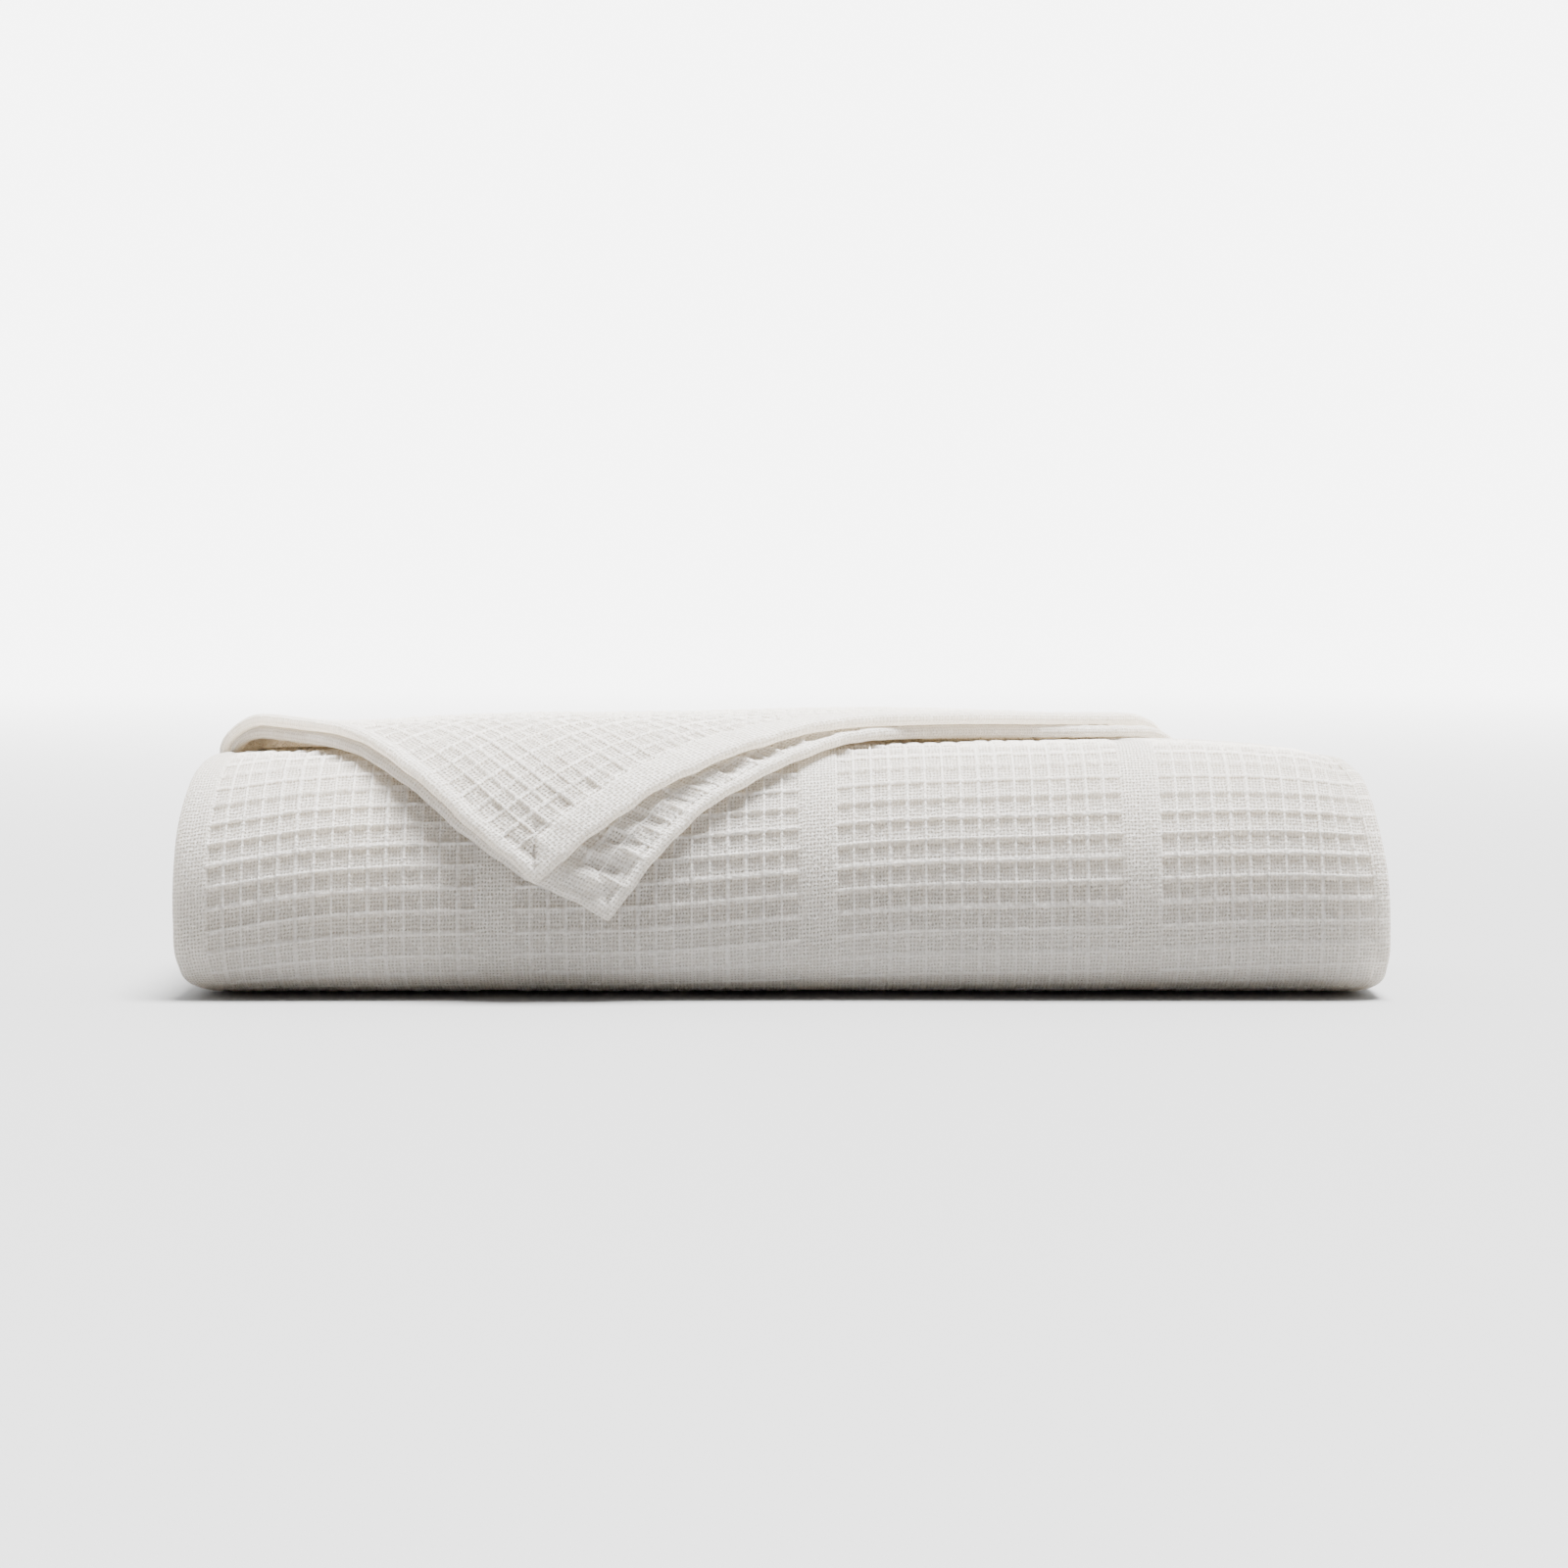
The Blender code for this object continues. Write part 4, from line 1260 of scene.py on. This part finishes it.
def white_cotton():
    """White cotton yarns: plain weave in the bands, the hems and each cell's floor, floats on the
    ridges, and painted shade in the colour.
    """
    material, shader, nodes = new_material("white_cotton", COTTON_FINISH)
    parts = cloth_parts(nodes)
    bump = nodes.add("ShaderNodeBump")
    bump.inputs["Strength"].default_value = BUMP_STRENGTH
    bump.inputs["Distance"].default_value = BUMP_HEIGHT
    nodes.link(nodes.total(parts, BUMP_WEIGHTS), bump.inputs["Height"])
    nodes.link(bump.outputs["Normal"], shader.inputs["Normal"])

    # Lightest on the ridges; painted shade makes the colour darker and warmer in each cell's floor
    # and in the gaps.
    light = nodes.math("ADD", nodes.total(parts, TONE_AND_SHADE_WEIGHTS), LIGHT_START, clamp=True)
    nodes.link(nodes.ramp(light, COTTON_AND_SHADE_COLOURS), shader.inputs["Base Color"])

    # The open weave lets some light through.
    through = nodes.add("ShaderNodeBsdfTranslucent")
    through.inputs["Color"].default_value = (*THROUGH_COLOUR, 1.0)
    nodes.link(bump.outputs["Normal"], through.inputs["Normal"])
    both = nodes.add("ShaderNodeMixShader")
    both.inputs["Fac"].default_value = THROUGH
    nodes.link(shader.outputs["BSDF"], both.inputs[1])
    nodes.link(through.outputs["BSDF"], both.inputs[2])
    output = material.node_tree.nodes["Material Output"]
    nodes.link(both.outputs["Shader"], output.inputs["Surface"])
    return material


# ------------------------------------------------------------------ studio
def floor_material():
    """A matt pale floor, with painted shade that makes it a little darker close to the blanket."""
    material, shader, nodes = new_material("pale_floor", FLOOR_FINISH)
    place = nodes.add("ShaderNodeTexCoord")
    length = nodes.add("ShaderNodeVectorMath", operation="LENGTH")
    nodes.link(place.outputs["Object"], length.inputs[0])
    away = nodes.math("DIVIDE", nodes.math("SUBTRACT", length.outputs["Value"], FLOOR_NEAR),
                      FLOOR_FAR - FLOOR_NEAR, clamp=True)
    colour = nodes.ramp(away, [(0.0, [FLOOR_SHADE_GREY] * 3), (1.0, [FLOOR_WHITE] * 3)], "EASE")
    nodes.link(colour, shader.inputs["Base Color"])
    return material


def studio_world():
    """A soft room: bright behind the blanket, dimmer above and in front."""
    world = bpy.data.worlds.new("studio")
    bpy.context.scene.world = world
    nodes = Nodes(world)
    place = nodes.add("ShaderNodeTexCoord")
    split = nodes.add("ShaderNodeSeparateXYZ")
    nodes.link(place.outputs["Generated"], split.inputs[0])
    behind = nodes.math("ADD", split.outputs["Y"], ROOM_TURN, clamp=True)
    behind = nodes.math("SMOOTH_MIN", behind, 1.0, ROOM_SOFT)
    background = world.node_tree.nodes["Background"]
    background.inputs["Color"].default_value = (1.0, 1.0, 1.0, 1.0)
    nodes.link(nodes.mix(behind, ROOM_FRONT, ROOM_BACK), background.inputs["Strength"])


def studio():
    """Pale floor, soft light from all round, and one large light above."""
    mesh = bpy.data.meshes.new("floor")
    build = bmesh.new()
    bmesh.ops.create_grid(build, x_segments=1, y_segments=1, size=FLOOR_HALF)
    build.to_mesh(mesh)
    build.free()
    mesh.materials.append(floor_material())
    floor = new_object("floor", mesh)
    floor.location = (0.0, 0.0, -FLOOR_DROP)
    studio_world()

    data = bpy.data.lights.new("overhead", "SUN")
    data.angle = LAMP_WIDTH
    data.energy = LAMP_POWER
    lamp = new_object("overhead", data)
    lamp.location = LAMP_PLACE
    lamp.rotation_euler = Vector(LAMP_PLACE).to_track_quat("Z", "Y").to_euler()


def photo_camera():
    """Camera at the photograph's angle, framed as its 1600 pixels across."""
    data = bpy.data.cameras.new("camera")
    data.sensor_width = SENSOR
    data.lens = SENSOR * CAMERA_DISTANCE / (PHOTO_SIZE * PIXEL)
    camera = new_object("camera", data)
    x, y, z = CAMERA_TARGET
    camera.location = (x, y - CAMERA_DISTANCE * math.cos(CAMERA_ELEVATION),
                       z + CAMERA_DISTANCE * math.sin(CAMERA_ELEVATION))
    camera.rotation_euler = (math.pi / 2 - CAMERA_ELEVATION, 0.0, 0.0)
    bpy.context.scene.camera = camera


# ------------------------------------------------------------------ assembly
def main():
    """The camera, the room, and the seven pieces of the cloth."""
    photo_camera()
    studio()
    cotton = white_cotton()
    start, stop = turn_lengths(0)
    under = start + (stop - start) * FRONT_SHARE
    outer_stretch("outer_front", start + HEM_WIDTH - OVERLAP, under, cotton)
    outer_stretch("outer_base", under, stop, cotton)
    top_hem(cotton)
    inner_layers(cotton)
    back_bends(cotton)
    for ply in PLY_COLUMN:
        corner_ply(ply, cotton)


main()
